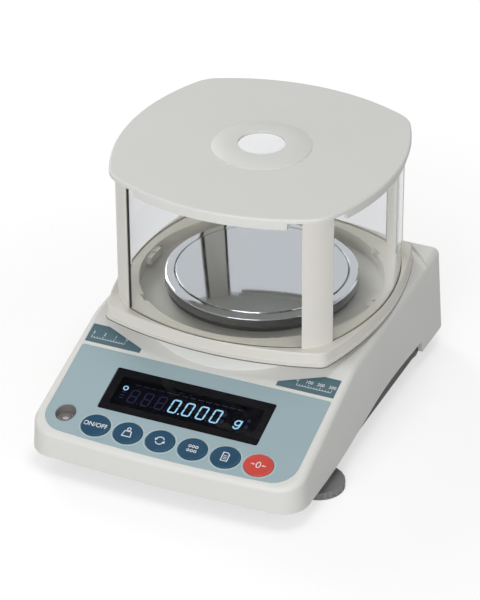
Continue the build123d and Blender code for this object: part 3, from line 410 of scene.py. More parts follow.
def turned_lines():
    """Fine circular tool marks about an upright axis, from the distance to that axis."""
    tree, given, put = new_group(
        "turned_lines", {"Axis X": 0.0, "Axis Y": 0.0, "Pitch": 6000.0, "Depth": 0.02},
        {"Tone": "NodeSocketFloat", "Normal": "NodeSocketVector"})
    place = place_on(tree)
    apart = add(tree, "ShaderNodeSeparateXYZ", {"Vector": place})
    x = maths(tree, "SUBTRACT", apart.outputs["X"], given["Axis X"])
    y = maths(tree, "SUBTRACT", apart.outputs["Y"], given["Axis Y"])
    flat = add(tree, "ShaderNodeCombineXYZ", {"X": x, "Y": y})
    radius = add(tree, "ShaderNodeVectorMath", {0: flat.outputs[0]}, operation="LENGTH")
    lines = add(tree, "ShaderNodeTexNoise",
                {"W": radius.outputs["Value"], "Scale": given["Pitch"], "Detail": 2.0},
                noise_dimensions="1D")
    bump = add(tree, "ShaderNodeBump",
               {"Strength": given["Depth"], "Distance": 0.0001, "Height": lines.outputs["Fac"]})
    tree.links.new(lines.outputs["Fac"], put["Tone"])
    tree.links.new(bump.outputs["Normal"], put["Normal"])
    return tree


GRAIN = moulded_grain()
GLOSS = handled_gloss()
LINES = turned_lines()


def new_material(name):
    """Empty material with its output, and its node tree."""
    material = bpy.data.materials.new(name)
    material.use_nodes = True
    tree = material.node_tree
    tree.nodes.clear()
    return material, tree, add(tree, "ShaderNodeOutputMaterial")


def use(tree, group, **inputs):
    """Place a node group; underscores in its inputs' names are read as spaces."""
    made = tree.nodes.new("ShaderNodeGroup")
    made.node_tree = group
    for key, value in inputs.items():
        made.inputs[key.replace("_", " ")].default_value = value
    return made.outputs


def between(tree, factor, first, second):
    """Colour between two colours."""
    made = add(tree, "ShaderNodeMix", {"Factor": factor}, data_type="RGBA")
    for socket, colour in ((made.inputs[6], first), (made.inputs[7], second)):
        if isinstance(colour, bpy.types.NodeSocket):
            tree.links.new(colour, socket)
        else:
            socket.default_value = (*colour, 1.0)
    return made.outputs[2]


def principled(tree, output, **inputs):
    """Principled shader on the output; underscores in its inputs' names are read as spaces."""
    shader = add(tree, "ShaderNodeBsdfPrincipled",
                 {key.replace("_", " "): value for key, value in inputs.items()})
    tree.links.new(shader.outputs[0], output.inputs["Surface"])
    return shader


# Materials


def moulded(name, colour, shade, smooth=0.42, dull=0.52, scale=1800.0, depth=0.03, specular=0.4):
    """Satin moulded plastic: fine grain, a slow change between colour and shade."""
    material, tree, output = new_material(name)
    grain = use(tree, GRAIN, Scale=scale, Depth=depth)
    gloss = use(tree, GLOSS, Scale=26.0, Smooth=smooth, Dull=dull)
    principled(tree, output, Base_Color=between(tree, grain["Tone"], colour, shade),
               Roughness=gloss["Roughness"], Normal=grain["Normal"], Specular_IOR_Level=specular)
    return material


def metal(name, colour, shade, smooth, dull, pitch=6000.0):
    """Metal with fine turned lines about the pan's axis."""
    material, tree, output = new_material(name)
    lines = use(tree, LINES, Axis_X=pan_axis[0], Axis_Y=pan_axis[1], Pitch=pitch, Depth=0.02)
    gloss = use(tree, GLOSS, Scale=60.0, Smooth=smooth, Dull=dull)
    principled(tree, output, Base_Color=between(tree, lines["Tone"], colour, shade),
               Metallic=1.0, Roughness=gloss["Roughness"], Normal=lines["Normal"])
    return material


def mirror_polish():
    """Polished steel of the pan with faint wiping marks.

    Its skirt under the rim is dull, and its colour is painted dark as shade. The pressed groove is
    darkened in patches by painted shade: a band of distances from the pan's axis.
    """
    # The second colour is painted shade in the groove, the third painted shade on the skirt.
    polished, groove_shade_colour, dark = (0.62, 0.645, 0.675), (0.05, 0.052, 0.055), (0.24, 0.245, 0.25)
    full_groove_shade, no_groove_shade, skirt_fade, skirt_roughness = 0.35 * MM, 0.75 * MM, 0.5 * MM, 0.22
    patch_noise, least_groove_shade = (0.35, 0.6), 0.55
    material, tree, output = new_material("pan_mirror")
    gloss = use(tree, GLOSS, Scale=45.0, Smooth=0.03, Dull=0.08)
    place = place_on(tree)
    apart = add(tree, "ShaderNodeSeparateXYZ", {"Vector": place})
    skirt = ramp(tree, apart.outputs["Z"], skirt_top - skirt_fade, skirt_top, 1.0, 0.0)
    offset = add(tree, "ShaderNodeVectorMath", {0: place, 1: (*pan_axis, 0)}, operation="SUBTRACT")
    level = add(tree, "ShaderNodeVectorMath", {0: offset.outputs[0], 1: (1, 1, 0)},
                operation="MULTIPLY")
    radius = add(tree, "ShaderNodeVectorMath", {0: level.outputs[0]}, operation="LENGTH")
    # Painted shade in the pressed groove, made patchy by noise.
    away = maths(tree, "SUBTRACT", radius.outputs["Value"], groove_radius)
    away = maths(tree, "ABSOLUTE", away)
    groove_shade_mask = ramp(tree, away, full_groove_shade, no_groove_shade, 1.0, 0.0)
    groove_shade_patches = add(tree, "ShaderNodeTexNoise", {"Vector": place, "Scale": 90.0, "Detail": 3.0})
    patchy = ramp(tree, groove_shade_patches.outputs["Fac"], *patch_noise, least_groove_shade, 1.0)
    bright = between(tree, maths(tree, "MULTIPLY", groove_shade_mask, patchy), polished, groove_shade_colour)
    rough = add(tree, "ShaderNodeMix", {
        "Factor": skirt, 2: gloss["Roughness"], 3: skirt_roughness}, data_type="FLOAT")
    principled(tree, output, Metallic=1.0, Roughness=rough.outputs[0],
               Base_Color=between(tree, skirt, bright, dark))
    return material


def clear_glass(name, colour, ior, passed=None):
    """Glass that bends what is seen through it and lets the lamps' light pass.

    The passed colour is the share of the lamps' light; without one it is the glass's own colour.
    """
    material, tree, output = new_material(name)
    shader = principled(tree, output, Base_Color=(*colour, 1), Roughness=0.0, IOR=ior,
                        Transmission_Weight=1.0)
    path = add(tree, "ShaderNodeLightPath").outputs
    through = maths(tree, "MAXIMUM", path["Is Shadow Ray"], path["Is Diffuse Ray"])
    clear = add(tree, "ShaderNodeBsdfTransparent", {"Color": (*(passed or colour), 1)})
    mix = add(tree, "ShaderNodeMixShader", {
        0: through, 1: shader.outputs[0], 2: clear.outputs[0]})
    tree.links.new(mix.outputs[0], output.inputs["Surface"])
    return material


def printed_film(name, colour, shade, smooth=0.38, dull=0.48):
    """Printed polyester film: even colour under a very fine matt grain."""
    return moulded(name, colour, shade, smooth, dull, scale=3200.0, depth=0.02, specular=0.35)


def lit_figures():
    """Glowing phosphor of the lit figures, a fine grain of two pale blues."""
    material, tree, output = new_material("lit_phosphor")
    dots = add(tree, "ShaderNodeTexNoise", {"Vector": place_on(tree), "Scale": 2500.0})
    glow = between(tree, dots.outputs["Fac"], (0.38, 0.78, 1.0), (0.46, 0.86, 1.0))
    principled(tree, output, Base_Color=(0.05, 0.08, 0.10, 1), Roughness=0.6,
               Emission_Color=glow, Emission_Strength=2.4)
    return material


def tube_mesh(name, colour, shade):
    """Black inside of the display tube with its fine control mesh: the edges of even cells."""
    material, tree, output = new_material(name)
    place = place_on(tree)
    cells = add(tree, "ShaderNodeTexVoronoi",
                {"Vector": place, "Scale": 1400.0, "Randomness": 0.1}, feature="DISTANCE_TO_EDGE")
    wire_core, wire_edge = 0.03, 0.10
    wires = ramp(tree, cells.outputs["Distance"], wire_core, wire_edge, 1.0, 0.0)
    gloss = use(tree, GLOSS, Scale=60.0, Smooth=0.25, Dull=0.35)
    principled(tree, output, Base_Color=between(tree, wires, colour, shade),
               Roughness=gloss["Roughness"])
    return material


def circuit_board(name, colour, shade):
    """Solder mask with darker tracks: the joints of a brick pattern."""
    material, tree, output = new_material(name)
    place = place_on(tree)
    tracks = add(tree, "ShaderNodeTexBrick", {
        "Vector": place, "Scale": 160.0, "Mortar Size": 0.04, "Color1": (*colour, 1),
        "Color2": (*colour, 1), "Mortar": (*shade, 1)})
    gloss = use(tree, GLOSS, Scale=80.0, Smooth=0.25, Dull=0.4)
    principled(tree, output, Base_Color=tracks.outputs["Color"], Roughness=gloss["Roughness"])
    return material


cream = moulded("cream_housing", (0.80, 0.80, 0.775), (0.775, 0.775, 0.75))
shield_cream = moulded("cream_shield", (0.80, 0.78, 0.725), (0.775, 0.755, 0.70), 0.36, 0.46)
tray_black = moulded("tray_black", (0.055, 0.055, 0.058), (0.045, 0.045, 0.047), 0.5, 0.62)
foot_grey = moulded("foot_grey", (0.27, 0.27, 0.27), (0.21, 0.21, 0.21), 0.34, 0.48, 900.0, 0.08)
part_black = moulded("part_black", (0.03, 0.03, 0.032), (0.022, 0.022, 0.024), 0.4, 0.55)
grey_plastic = moulded("grey_plastic", (0.50, 0.50, 0.49), (0.46, 0.46, 0.45))
# Grey of the level's cup; the same grey paints shade in the level's hole, at the bubble's rim and
# under the base ring.
level_grey = moulded("level_grey", (0.22, 0.20, 0.195), (0.19, 0.175, 0.17))
# Pale of the bubble: a painted reflection.
level_pale = moulded("level_pale", (0.82, 0.80, 0.79), (0.77, 0.75, 0.74), 0.05, 0.1)
# Black rubber of the pan's cushions; the same black paints the shadow strips of the shield and the
# shade under the pan.
rubber = moulded("rubber_and_painted_shade", (0.03, 0.03, 0.03), (0.02, 0.02, 0.02), 0.7, 0.85, 900.0, 0.08)
fascia_film = printed_film("fascia_blue_grey", (0.375, 0.495, 0.535), (0.355, 0.475, 0.515))
halo_film = printed_film("halo_pale", (0.50, 0.61, 0.64), (0.47, 0.585, 0.615))
badge_film = printed_film("badge_teal", (0.10, 0.185, 0.22), (0.09, 0.17, 0.205))
key_blue = moulded("key_blue", (0.018, 0.082, 0.155), (0.013, 0.070, 0.138), 0.3, 0.4, 2600.0, 0.02)
key_red = moulded("key_red", (0.70, 0.080, 0.062), (0.64, 0.068, 0.053), 0.3, 0.4, 2600.0, 0.02)
print_white = printed_film("print_white", (0.82, 0.84, 0.86), (0.78, 0.80, 0.82))
print_grey = printed_film("print_grey", (0.20, 0.21, 0.22), (0.17, 0.18, 0.19))
mask_black = printed_film("mask_black", (0.006, 0.006, 0.008), (0.004, 0.004, 0.006))
mirror = mirror_polish()
cast_metal = metal("cast_aluminium", (0.60, 0.60, 0.62), (0.52, 0.52, 0.54), 0.35, 0.5)
spring_metal = metal("ground_steel", (0.55, 0.55, 0.56), (0.45, 0.45, 0.46), 0.2, 0.3)
screw_metal = metal("plated_steel", (0.62, 0.62, 0.60), (0.50, 0.50, 0.48), 0.22, 0.35)
copper_wire = metal("copper_wire", (0.62, 0.26, 0.13), (0.48, 0.18, 0.09), 0.3, 0.4, 9000.0)
brass_metal = metal("earth_brass", (0.74, 0.58, 0.28), (0.62, 0.47, 0.22), 0.2, 0.32)
board_green = circuit_board("board_green", (0.03, 0.16, 0.07), (0.02, 0.09, 0.05))
pane_glass = clear_glass("pane_glass", (0.975, 0.982, 0.992), 1.20, (0.99, 0.985, 0.95))
lens_glass = clear_glass("lens_glass", (0.97, 0.97, 0.97), 1.5)
level_fluid = moulded("level_fluid", (0.43, 0.395, 0.38), (0.39, 0.355, 0.345), 0.06, 0.12)
window_smoke = clear_glass("window_smoke", (0.36, 0.36, 0.42), 1.3)
tube_face = tube_mesh("tube_face", (0.006, 0.006, 0.012), (0.016, 0.016, 0.04))
ghost_ink = printed_film("ghost_segments", (0.36, 0.38, 0.80), (0.31, 0.33, 0.72))
phosphor = lit_figures()

finishes = {
    cream: ["upper_case", "well_collar", "shield_lid"],
    shield_cream: ["shield_ring"],
    tray_black: ["lower_case", "hook_cover"],
    fascia_film: ["fascia_panel"],
    badge_film: ["badge_left", "badge_right"],
    window_smoke: ["display_window"],
    tube_face: ["display_tube"],
    board_green: ["display_board", "main_board"],
    part_black: ["key_switches", "board_parts", "power_jack"],
    level_grey: ["level_cup"],
    grey_plastic: ["ribbon_cable", "rating_plate"],
    level_fluid: ["level_liquid"],
    lens_glass: ["level_lens"],
    mirror: ["weighing_pan"],
    cast_metal: ["pan_support", "sensor_frame", "load_receiver", "sensor_lever"],
    rubber: ["pan_cushions"],
    spring_metal: ["sensor_flexures", "sensor_magnet", "underhook"],
    copper_wire: ["sensor_coil"],
    screw_metal: ["hook_screw", "board_screws", "case_screws", "serial_port", "port_screws"],
    brass_metal: ["earth_terminal"],
    key_blue: ["key_power", "key_calibrate", "key_mode", "key_sample", "key_print"],
    key_red: ["key_rezero"],
    pane_glass: ["pane_front", "pane_right", "pane_rear", "pane_left"],
}
for corner in ("front_left", "front_right", "rear_left", "rear_right"):
    finishes[shield_cream].append(f"post_{corner}")
    finishes[screw_metal].append(f"foot_stem_{corner}")
    finishes.setdefault(foot_grey, []).append(f"foot_disc_{corner}")


def finish_nodes():
    """Give every CAD node its material."""
    for material, names in finishes.items():
        for name in names:
            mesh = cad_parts[name].data
            mesh.materials.clear()
            mesh.materials.append(material)


finish_nodes()

# Pan


def turned_on_pan(corners, steps, count):
    """Shape turned about the pan's axis from a profile with rounded corners."""
    points, faces = lathe(rounded(corners, steps), count)
    return points + [*pan_axis, 0], faces


def weighing_pan():
    """Polished pan, turned from its profile: flat face, pressed groove, margin, rim and skirt."""
    top, foot = pan_high.z, pan_low.z
    groove, margin, rim = top - 1.1 * MM, top - 0.45 * MM, top - 1.3 * MM
    groove_start, groove_end, margin_start = (
        face_radius + reach * MM for reach in (0.45, 0.75, 1.15))
    margin_end, margin_fall, rim_fall, sheet = pan_radius - 1.1 * MM, 0.3 * MM, 0.1 * MM, 1.2 * MM
    corners = [
        (0, top, 0), (face_radius, top, 0.3 * MM), (groove_start, groove, 0.1 * MM),
        (groove_end, groove, 0.1 * MM), (margin_start, margin, 0.3 * MM),
        (margin_end, margin - margin_fall, 0.9 * MM), (pan_radius, rim - rim_fall, 0.5 * MM),
        (pan_radius, foot, 0.4 * MM), (pan_radius - sheet, foot, 0.4 * MM),
        (pan_radius - sheet, rim - sheet, 0.5 * MM), (0, top - 1.6 * sheet, 0),
    ]
    made = piece("pan_polished", [turned_on_pan(corners, 5, 256)], mirror, "pan", "mirror_steel",
                 crease=50)
    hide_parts("weighing_pan")


def pan_shade_lip():
    """Black lip under the pan's skirt, painted shade for the deep shade below it; turned from a
    profile that tapers downwards.
    """
    outer, inner = pan_radius - 0.3 * MM, pan_radius - 2.0 * MM
    top, foot, lean, rounding = pan_low.z, pan_low.z - 3.4 * MM, 0.6 * MM, 0.4 * MM
    corners = [(inner, top, 0), (outer, top, 0), (outer - lean, foot, rounding),
               (inner, foot, rounding)]
    # Painted shade: a black piece put where there is only shade under the pan.
    piece("pan_shade_lip", [turned_on_pan(corners, 4, 192)], rubber, "pan", "rubber", crease=50)


weighing_pan()
pan_shade_lip()

# Keys and their symbols

key_half_width = 9.9 * MM
key_half_length = 8.45 * MM


def key_top(name):
    """Middle of a key's top on the panel, as x, s and lift."""
    node = f"key_{name}"
    return np.array([*panel.where(flat_face(node)[1]), panel.lift(node)])


def key_spread(reach, angle):
    """x and y on an oval that lies reach outside a key's outline.

    Inside the outline both half axes shrink in proportion, down to nothing at -key_half_width,
    and outside it both grow by reach.
    """
    share = 1 + np.minimum(reach, 0) / key_half_width
    more = np.maximum(reach, 0)
    return ((share * key_half_width + more) * np.cos(angle),
            (share * key_half_length + more) * np.sin(angle))


def round_key(name, profile):
    """Shape on the panel from a profile carried round a key's oval."""
    x, s = key_top(name)[:2]
    points, faces = lathe(profile, 72, key_spread)
    return panel.point(points + [x, s, 0]), faces


def key_cap(name):
    """Oval key: dished top with a raised edge, flange under the case and stem.

    The profile's first number is how far it lies outside the key's outline.
    """
    lift = key_top(name)[2]
    centre, stem = -key_half_width, 3.0 * MM - key_half_width
    dish, dish_edge, crown, edge_fall = 0.12 * MM, -2.2 * MM, -1.0 * MM, 0.02 * MM
    flange, flange_top, flange_foot = 1.15 * MM, lift - 3.9 * MM, lift - 5.4 * MM
    foot = lift - 7.6 * MM
    corners = [
        (centre, lift - dish, 0), (dish_edge, lift - 0.8 * dish, 1.0 * MM),
        (crown, lift, 0.4 * MM), (0, lift - edge_fall, 0.55 * MM), (0, flange_top, 0),
        (flange, flange_top, 0.2 * MM), (flange, flange_foot, 0.2 * MM), (stem, flange_foot, 0),
        (stem, foot, 0), (centre, foot, 0),
    ]
    material, slot = (key_red, "red_key") if name == "rezero" else (key_blue, "blue_key")
    made = piece(f"cap_{name}", [round_key(name, rounded(corners, 4))], material, f"key_{name}",
                 slot)
    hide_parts(f"key_{name}")


def key_surround(name):
    """Raised bead of the film round a key: a low arc carried along a wider oval."""
    turn = np.linspace(0, np.pi, 9)
    centre, half, height, sunk = 0.95 * MM, 0.55 * MM, 0.3 * MM, 0.1 * MM
    bead = np.column_stack([centre + half * np.cos(turn), height * np.sin(turn) - sunk])
    piece(f"surround_{name}", [round_key(name, bead)], halo_film, "housing", "fascia_film",
          crease=60)


# A key's symbol is drawn in millimetres about the key's middle. It reaches a little into the key.

symbol_depth = 0.25
key_line = pen(0.55, -symbol_depth, 0.0)


def arrow_head(tip, degrees, size):
    """Triangle that points in a direction, as long as its size and 1.2 times as wide."""
    turn = np.radians(degrees)
    ahead, side = np.array([np.cos(turn), np.sin(turn)]), np.array([-np.sin(turn), np.cos(turn)])
    back = np.array(tip) - size * ahead
    return prism([tip, back + 0.6 * size * side, back - 0.6 * size * side], -symbol_depth, 0.0)


def weight_symbol():
    """Weight with its neck and ring."""
    foot, half_top, shoulder, neck, neck_top = 2.6, 2.0, 1.0, 0.7, 1.8
    body = [(-foot, -foot), (foot, -foot), (half_top, shoulder), (-half_top, shoulder)]
    necks = [key_line([(x, shoulder), (x, neck_top)]) for x in (-neck, neck)]
    return [key_line(body, closed=True), *necks, key_line(circle(0, 2.5, 1.0, 24), closed=True)]


def turning_symbol():
    """Two arcs with arrow heads that go round."""
    radius, tip_x, tip_y = 2.5, 2.75, 0.5
    arcs = [key_line(circle(0, 0, radius, 20, first, first + 140)) for first in (25, 205)]
    heads = [arrow_head((sign * tip_x, sign * tip_y), degrees, 1.7)
             for sign, degrees in ((-1, 258), (1, 78))]
    return arcs + heads


def pieces_symbol():
    """Two rows of three small rings."""
    return [key_line(circle(x, y, 0.72, 20), 0.45, closed=True)
            for x in (-2.1, 0.0, 2.1) for y in (-1.5, 1.5)]


def sheet_symbol():
    """Sheet of paper with a cut corner and three lines."""
    half_x, half_y, cut = 1.9, 2.8, 1.1
    sheet = [(-half_x, -half_y), (half_x, -half_y), (half_x, half_y - cut), (half_x - cut, half_y),
             (-half_x, half_y)]
    rows = [key_line([(-1.1, y), (1.1, y)], 0.4) for y in (-1.5, -0.4, 0.7)]
    return [key_line(sheet, closed=True), *rows]


def zero_symbol():
    """Zero between two arrows that point at it."""
    half_x, half_y, tail, head, tip = 1.15, 1.9, 4.4, 2.8, 1.9
    turn = np.radians(np.arange(32) * 360 / 32)
    zero = np.column_stack([half_x * np.cos(turn), half_y * np.sin(turn)])
    shapes = [key_line(zero, closed=True)]
    for sign, degrees in ((-1, 0), (1, 180)):
        shapes += [key_line([(sign * tail, 0), (sign * head, 0)]),
                   arrow_head((sign * tip, 0), degrees, 1.2)]
    return shapes


letter_half_depth = 0.12


def lettering(text, size, weight):
    """Flat letters of the built-in typeface as one shape, in millimetres about their middle.

    The typeface's faces and sides have points of their own; points in one place are made one.
    """
    curve = bpy.data.curves.new("letters", "FONT")
    curve.body = text
    curve.size = size
    curve.align_x, curve.align_y = "CENTER", "CENTER"
    curve.extrude = letter_half_depth
    curve.offset = weight * size
    carrier = bpy.data.objects.new("letters", curve)
    bpy.context.scene.collection.objects.link(carrier)
    depsgraph = bpy.context.evaluated_depsgraph_get()
    mesh = bpy.data.meshes.new_from_object(carrier.evaluated_get(depsgraph))
    points = np.array([v.co for v in mesh.vertices]) - [0, 0, letter_half_depth]
    points, shared = np.unique(points.round(5), axis=0, return_inverse=True)
    shared = shared.ravel()
    faces = [[int(shared[v]) for v in polygon.vertices] for polygon in mesh.polygons]
    bpy.data.objects.remove(carrier)
    bpy.data.curves.remove(curve)
    bpy.data.meshes.remove(mesh)
    return points, faces


def switch_symbol():
    """Words of a switch."""
    return [lettering("ON/OFF", 4.1, 0.012)]


key_symbols = {
    "power": switch_symbol,
    "calibrate": weight_symbol,
    "mode": turning_symbol,
    "sample": pieces_symbol,
    "print": sheet_symbol,
    "rezero": zero_symbol,
}


def key_symbol(name):
    """Printed symbol on a key, sunk into its dished top but for the ink's thickness."""
    x, s, lift = key_top(name)
    size, dish = 1.15 * MM, 0.11 * MM
    level = lift - dish + ink

    def place(points):
        return panel.point(points * [size, size, MM] + [x, s, level])

    piece(f"symbol_{name}", key_symbols[name](), print_white, f"key_{name}", "grey_plastic",
          place=place)


for name in key_symbols:
    key_cap(name)
    key_surround(name)
    key_symbol(name)

# Display

tube_lift = panel.lift("display_tube")


def seen_through(x, s):
    """Where the line of sight through a point on the panel meets the display tube's face."""
    start = panel.point([(x, s)])[0]
    sight = start - np.array(camera.matrix_world.translation)
    meets = start + sight * (tube_lift / (sight @ panel.normal))
    return panel.where(meets)


# Everything on the tube is drawn in millimetres about the first lit figure's middle.

first_figure = np.array([*seen_through(-7.2 * MM, -2.95 * MM), 0.0]) / MM
figure_width, figure_height, figure_pitch = 5.1, 10.2, 9.8
bar_width, bar_gap = 1.05, 0.12
lean = np.array([[1, 0], [0.1, 1]])
point_place = np.array([4.6, -figure_height / 2])
ready_place, unit_place = np.array([-37.2, 5.2]), np.array([45.4, -1.0])
print_depth = 0.04
zero_bars = ["top", "upper_left", "upper_right", "lower_left", "lower_right", "bottom"]


def pointed_bar(length, width):
    """Six-cornered bar along X, pointed at both ends."""
    h, w = length / 2, width / 2
    return np.array([(-h, 0), (-h + w, w), (h - w, w), (h, 0), (h - w, -w), (-h + w, -w)])


def rectangle(length, height):
    """Corners of a rectangle about its middle."""
    return np.array([(-1, -1), (1, -1), (1, 1), (-1, 1)]) * [length / 2, height / 2]


def figure(names):
    """Chosen bars of a seven-bar figure about its middle, leaning to the right."""
    w, h = figure_width, figure_height / 2
    across = pointed_bar(w - bar_gap, bar_width)
    along = pointed_bar(h - bar_gap, bar_width)[:, ::-1]
    bars = {
        "top": across + [0, h], "middle": across, "bottom": across + [0, -h],
        "upper_left": along + [-w / 2, h / 2], "upper_right": along + [w / 2, h / 2],
        "lower_left": along + [-w / 2, -h / 2], "lower_right": along + [w / 2, -h / 2],
    }
    return [bars[name] @ lean for name in names]


def display_piece(name, outlines, lines, material):
    """Piece on the tube's face from filled outlines and from lines that are drawn already."""
    shapes = [prism(outline, -print_depth, 0.0) for outline in outlines] + lines

    def place(points):
        return panel.point((points + first_figure) * MM, tube_lift + ink)

    piece(name, shapes, material, "housing", "tube_glass", place=place)


def lit_display():
    """Four lit zeros, their point, the ready ring and the unit of weight."""
    zeros = [bar + [place * figure_pitch, 0] for place in range(4) for bar in figure(zero_bars)]
    line = pen(0.95, -print_depth, 0.0)
    bowl, tail = circle(0, 0, 2.0, 28), circle(0, -2.6, 2.0, 14, -20, -165)
    stem = np.vstack([[(2.0, 2.3), (2.0, -2.4)], tail])
    lines = [
        line(circle(*ready_place, 1.5, 28), 0.75, closed=True),
        line(bowl @ lean + unit_place, closed=True), line(stem @ lean + unit_place),
    ]
    display_piece("figures_lit", [*zeros, circle(*point_place, 0.55, 16)], lines, phosphor)


def unlit_display():
    """Unlit figures and points, marks under the ready ring, a row of bars and two stars."""
    figures = [bar - [place * figure_pitch, 0] for place in (1, 2, 3)
               for bar in figure([*zero_bars, "middle"])]
    points = [circle(*(point_place + [place * figure_pitch, 0]), 0.5, 16)
              for place in (-3, -2, -1, 1, 2)]
    marks = [rectangle(2.8, 0.9) + ready_place - [0, drop] for drop in (3.4, 5.8, 8.2)]
    bars = [rectangle(4.0, 0.7) + [-30.0 + 5.6 * place, 9.4] for place in range(14)]
    stars = [
        pointed_bar(3.4, 0.7) @ np.array([[math.cos(a), math.sin(a)], [-math.sin(a), math.cos(a)]])
        + [x, y]
        for x in (34.5, 51.5) for y in (2.6, -2.6) for a in np.radians([0, 62, 118])
    ]
    display_piece("figures_unlit", figures + points + marks + bars + stars, [], ghost_ink)


def display_mask():
    """Black border printed under the window: a flat band along a rectangle."""
    band, depth, edge = 5.85, -0.78, 0.2
    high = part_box("display_window")[1]
    half_x = half_size("display_window")[0] / MM - edge - band / 2
    half_s = float(panel.where([0, high.y, high.z])[1]) / MM - edge - band / 2
    path = rectangle(2 * half_x, 2 * half_s)
    shape = ribbon(path, band, depth, depth + print_depth, closed=True)
    piece("display_mask", [shape], mask_black, "housing", "smoked_window",
          place=lambda points: panel.point(points * MM))


lit_display()
unlit_display()
display_mask()

# Bubble level


def level_bubble():
    """Flat round bubble under the lens, a little off the middle, with its dark outline.

    The bubble's pale colour is a painted reflection, and the dark outline is painted shade.
    """
    x, y = middle("level_lens").xy
    spot = np.array([x + 0.3 * MM, y - 0.9 * MM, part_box("level_liquid")[1].z])
    radius, half_height, rim = 2.1 * MM, 0.5 * MM, 0.22 * MM
    turn = np.linspace(0, np.pi, 13)
    bubble = lathe(np.column_stack([radius * np.sin(turn), half_height * np.cos(turn)]), 40)
    outline = lathe(circle(radius + 0.05 * MM, 0, rim, 12), 48)
    piece("level_bubble", [bubble], level_pale, "housing", "clear_glass",
          place=lambda points: points + spot)
    piece("bubble_rim_shade", [outline], level_grey, "housing", "grey_plastic",
          place=lambda points: points * [1, 1, 0.8] + spot)


def level_circle():
    """Black circle printed on the lens."""
    x, y = middle("level_lens").xy
    spot = np.array([x, y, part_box("level_lens")[1].z - 0.12 * MM])
    ring = lathe(circle(3.6 * MM, 0, 0.15 * MM, 12), 48)
    piece("level_circle", [ring], part_black, "housing", "black_plastic",
          place=lambda points: points * [1, 1, 0.3] + spot)


def level_shade_sleeve():
    """Grey lining of the hole over the level, painted shade on the hole's walls: a pipe whose top
    follows the sloping panel.

    The top's height is the panel's height at each point of the circle, less the film's thickness.
    """
    x, y = middle("level_lens").xy
    inner, outer, film = 6.55 * MM, 6.92 * MM, 0.8 * MM
    foot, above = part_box("level_cup")[1].z + 0.02 * MM, 1.0
    # Painted shade: the grey pipe darkens the walls of the hole.
    points, faces = lathe([(inner, foot), (outer, foot), (outer, above), (inner, above)], 72)
    points += [x, y, 0]
    slope = -(points[:, :2] - panel.origin[:2]) @ panel.normal[:2] / panel.normal[2]
    top = panel.origin[2] + slope - film / panel.normal[2]
    points[:, 2] = np.where(points[:, 2] > foot, top, foot)
    piece("level_shade_sleeve", [(points, faces)], level_grey, "housing", "grey_plastic")


level_bubble()
level_circle()
level_shade_sleeve()

# Painted shadow lines of the shield

ring_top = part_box("shield_ring")[1].z


def pane_shadow_strips():
    """Dark strips along the upright edges of the panes: painted shadow where they meet the posts.

    A strip is a small rectangle in plan, across the pane's end and a little way along it, carried
    straight up.
    """
    half, deep, end_zone = 1.12 * MM, 1.9 * MM, 0.05 * MM
    for side, along in sides.items():
        along = np.array(along, float)
        corners = np.array([v.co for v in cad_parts[f"pane_{side}"].data.vertices])
        reach = (corners[:, :2] - pan_axis) @ along
        for end, end_name in ((-1, "left"), (1, "right")):
            tip = corners[end * reach > (end * reach).max() - end_zone][:, :2]
            start = tip.mean(0)
            across = tip - start
            across = across[np.abs(across).sum(1).argmax()]
            across = across / np.linalg.norm(across) * half
            inwards = -end * along * deep
            outline = [start + across, start - across, start - across + inwards,
                       start + across + inwards]
            # Painted shadow: a dark strip where the pane meets the post.
            shape = prism(outline, ring_top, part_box(f"pane_{side}")[1].z)
            piece(f"edge_shadow_{side}_{end_name}", [shape], rubber, "shield", "rubber")


def foot_shadow_lines():
    """Painted shadow in the groove at each pane's foot: a dark line on an arc of the pane's own
    bow.

    The bow's radius follows from the pane's box: half its chord squared, plus its rise squared,
    over twice the rise.
    """
    proud, width, end_gap, sunk, height = 0.25 * MM, 0.5 * MM, 1.6 * MM, 0.02 * MM, 0.12 * MM
    low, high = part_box("pane_front")
    chord, outer = half_size("pane_front")[0], pan_axis[1] - low.y
    rise = outer - (pan_axis[1] - high.y + pane_sheet)
    bow = (chord**2 + rise**2) / (2 * rise) + proud
    back = bow - outer - proud
    span = math.degrees(math.asin((chord - end_gap) / bow))
    for turn, side in enumerate(sides):
        facing = 90 * turn - 90
        arc = circle(0, 0, bow, 40, facing - span, facing + span)
        outwards = np.array([np.cos(np.radians(facing)), np.sin(np.radians(facing))])
        # Painted shadow in the groove at the pane's foot.
        shape = ribbon(arc + pan_axis - back * outwards, width, ring_top - sunk, ring_top + height)
        piece(f"foot_shadow_{side}", [shape], rubber, "shield", "rubber")


def ring_shadow_line():
    """Painted shadow under the outer edge of the base ring: a dark line along the outline of its
    foot.

    The outline is bowed outwards all round, so it is the convex hull of the points at the foot.
    """
    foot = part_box("shield_ring")[0].z
    points = np.array([v.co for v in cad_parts["shield_ring"].data.vertices])
    points = np.unique(points[points[:, 2] < foot + shadow_line_height / 2][:, :2].round(5), axis=0)
    outline = points[convex_hull_2d(points.tolist())]
    width = 0.3 * MM
    # Painted shadow: a dark line under the ring's outer edge.
    shape = ribbon(outline, width, foot - shadow_line_height, foot + shadow_line_height, closed=True)
    piece("ring_shadow_line", [shape], level_grey, "shield", "rubber")


pane_shadow_strips()
foot_shadow_lines()
ring_shadow_line()

# Graduations on the two plates behind the panel


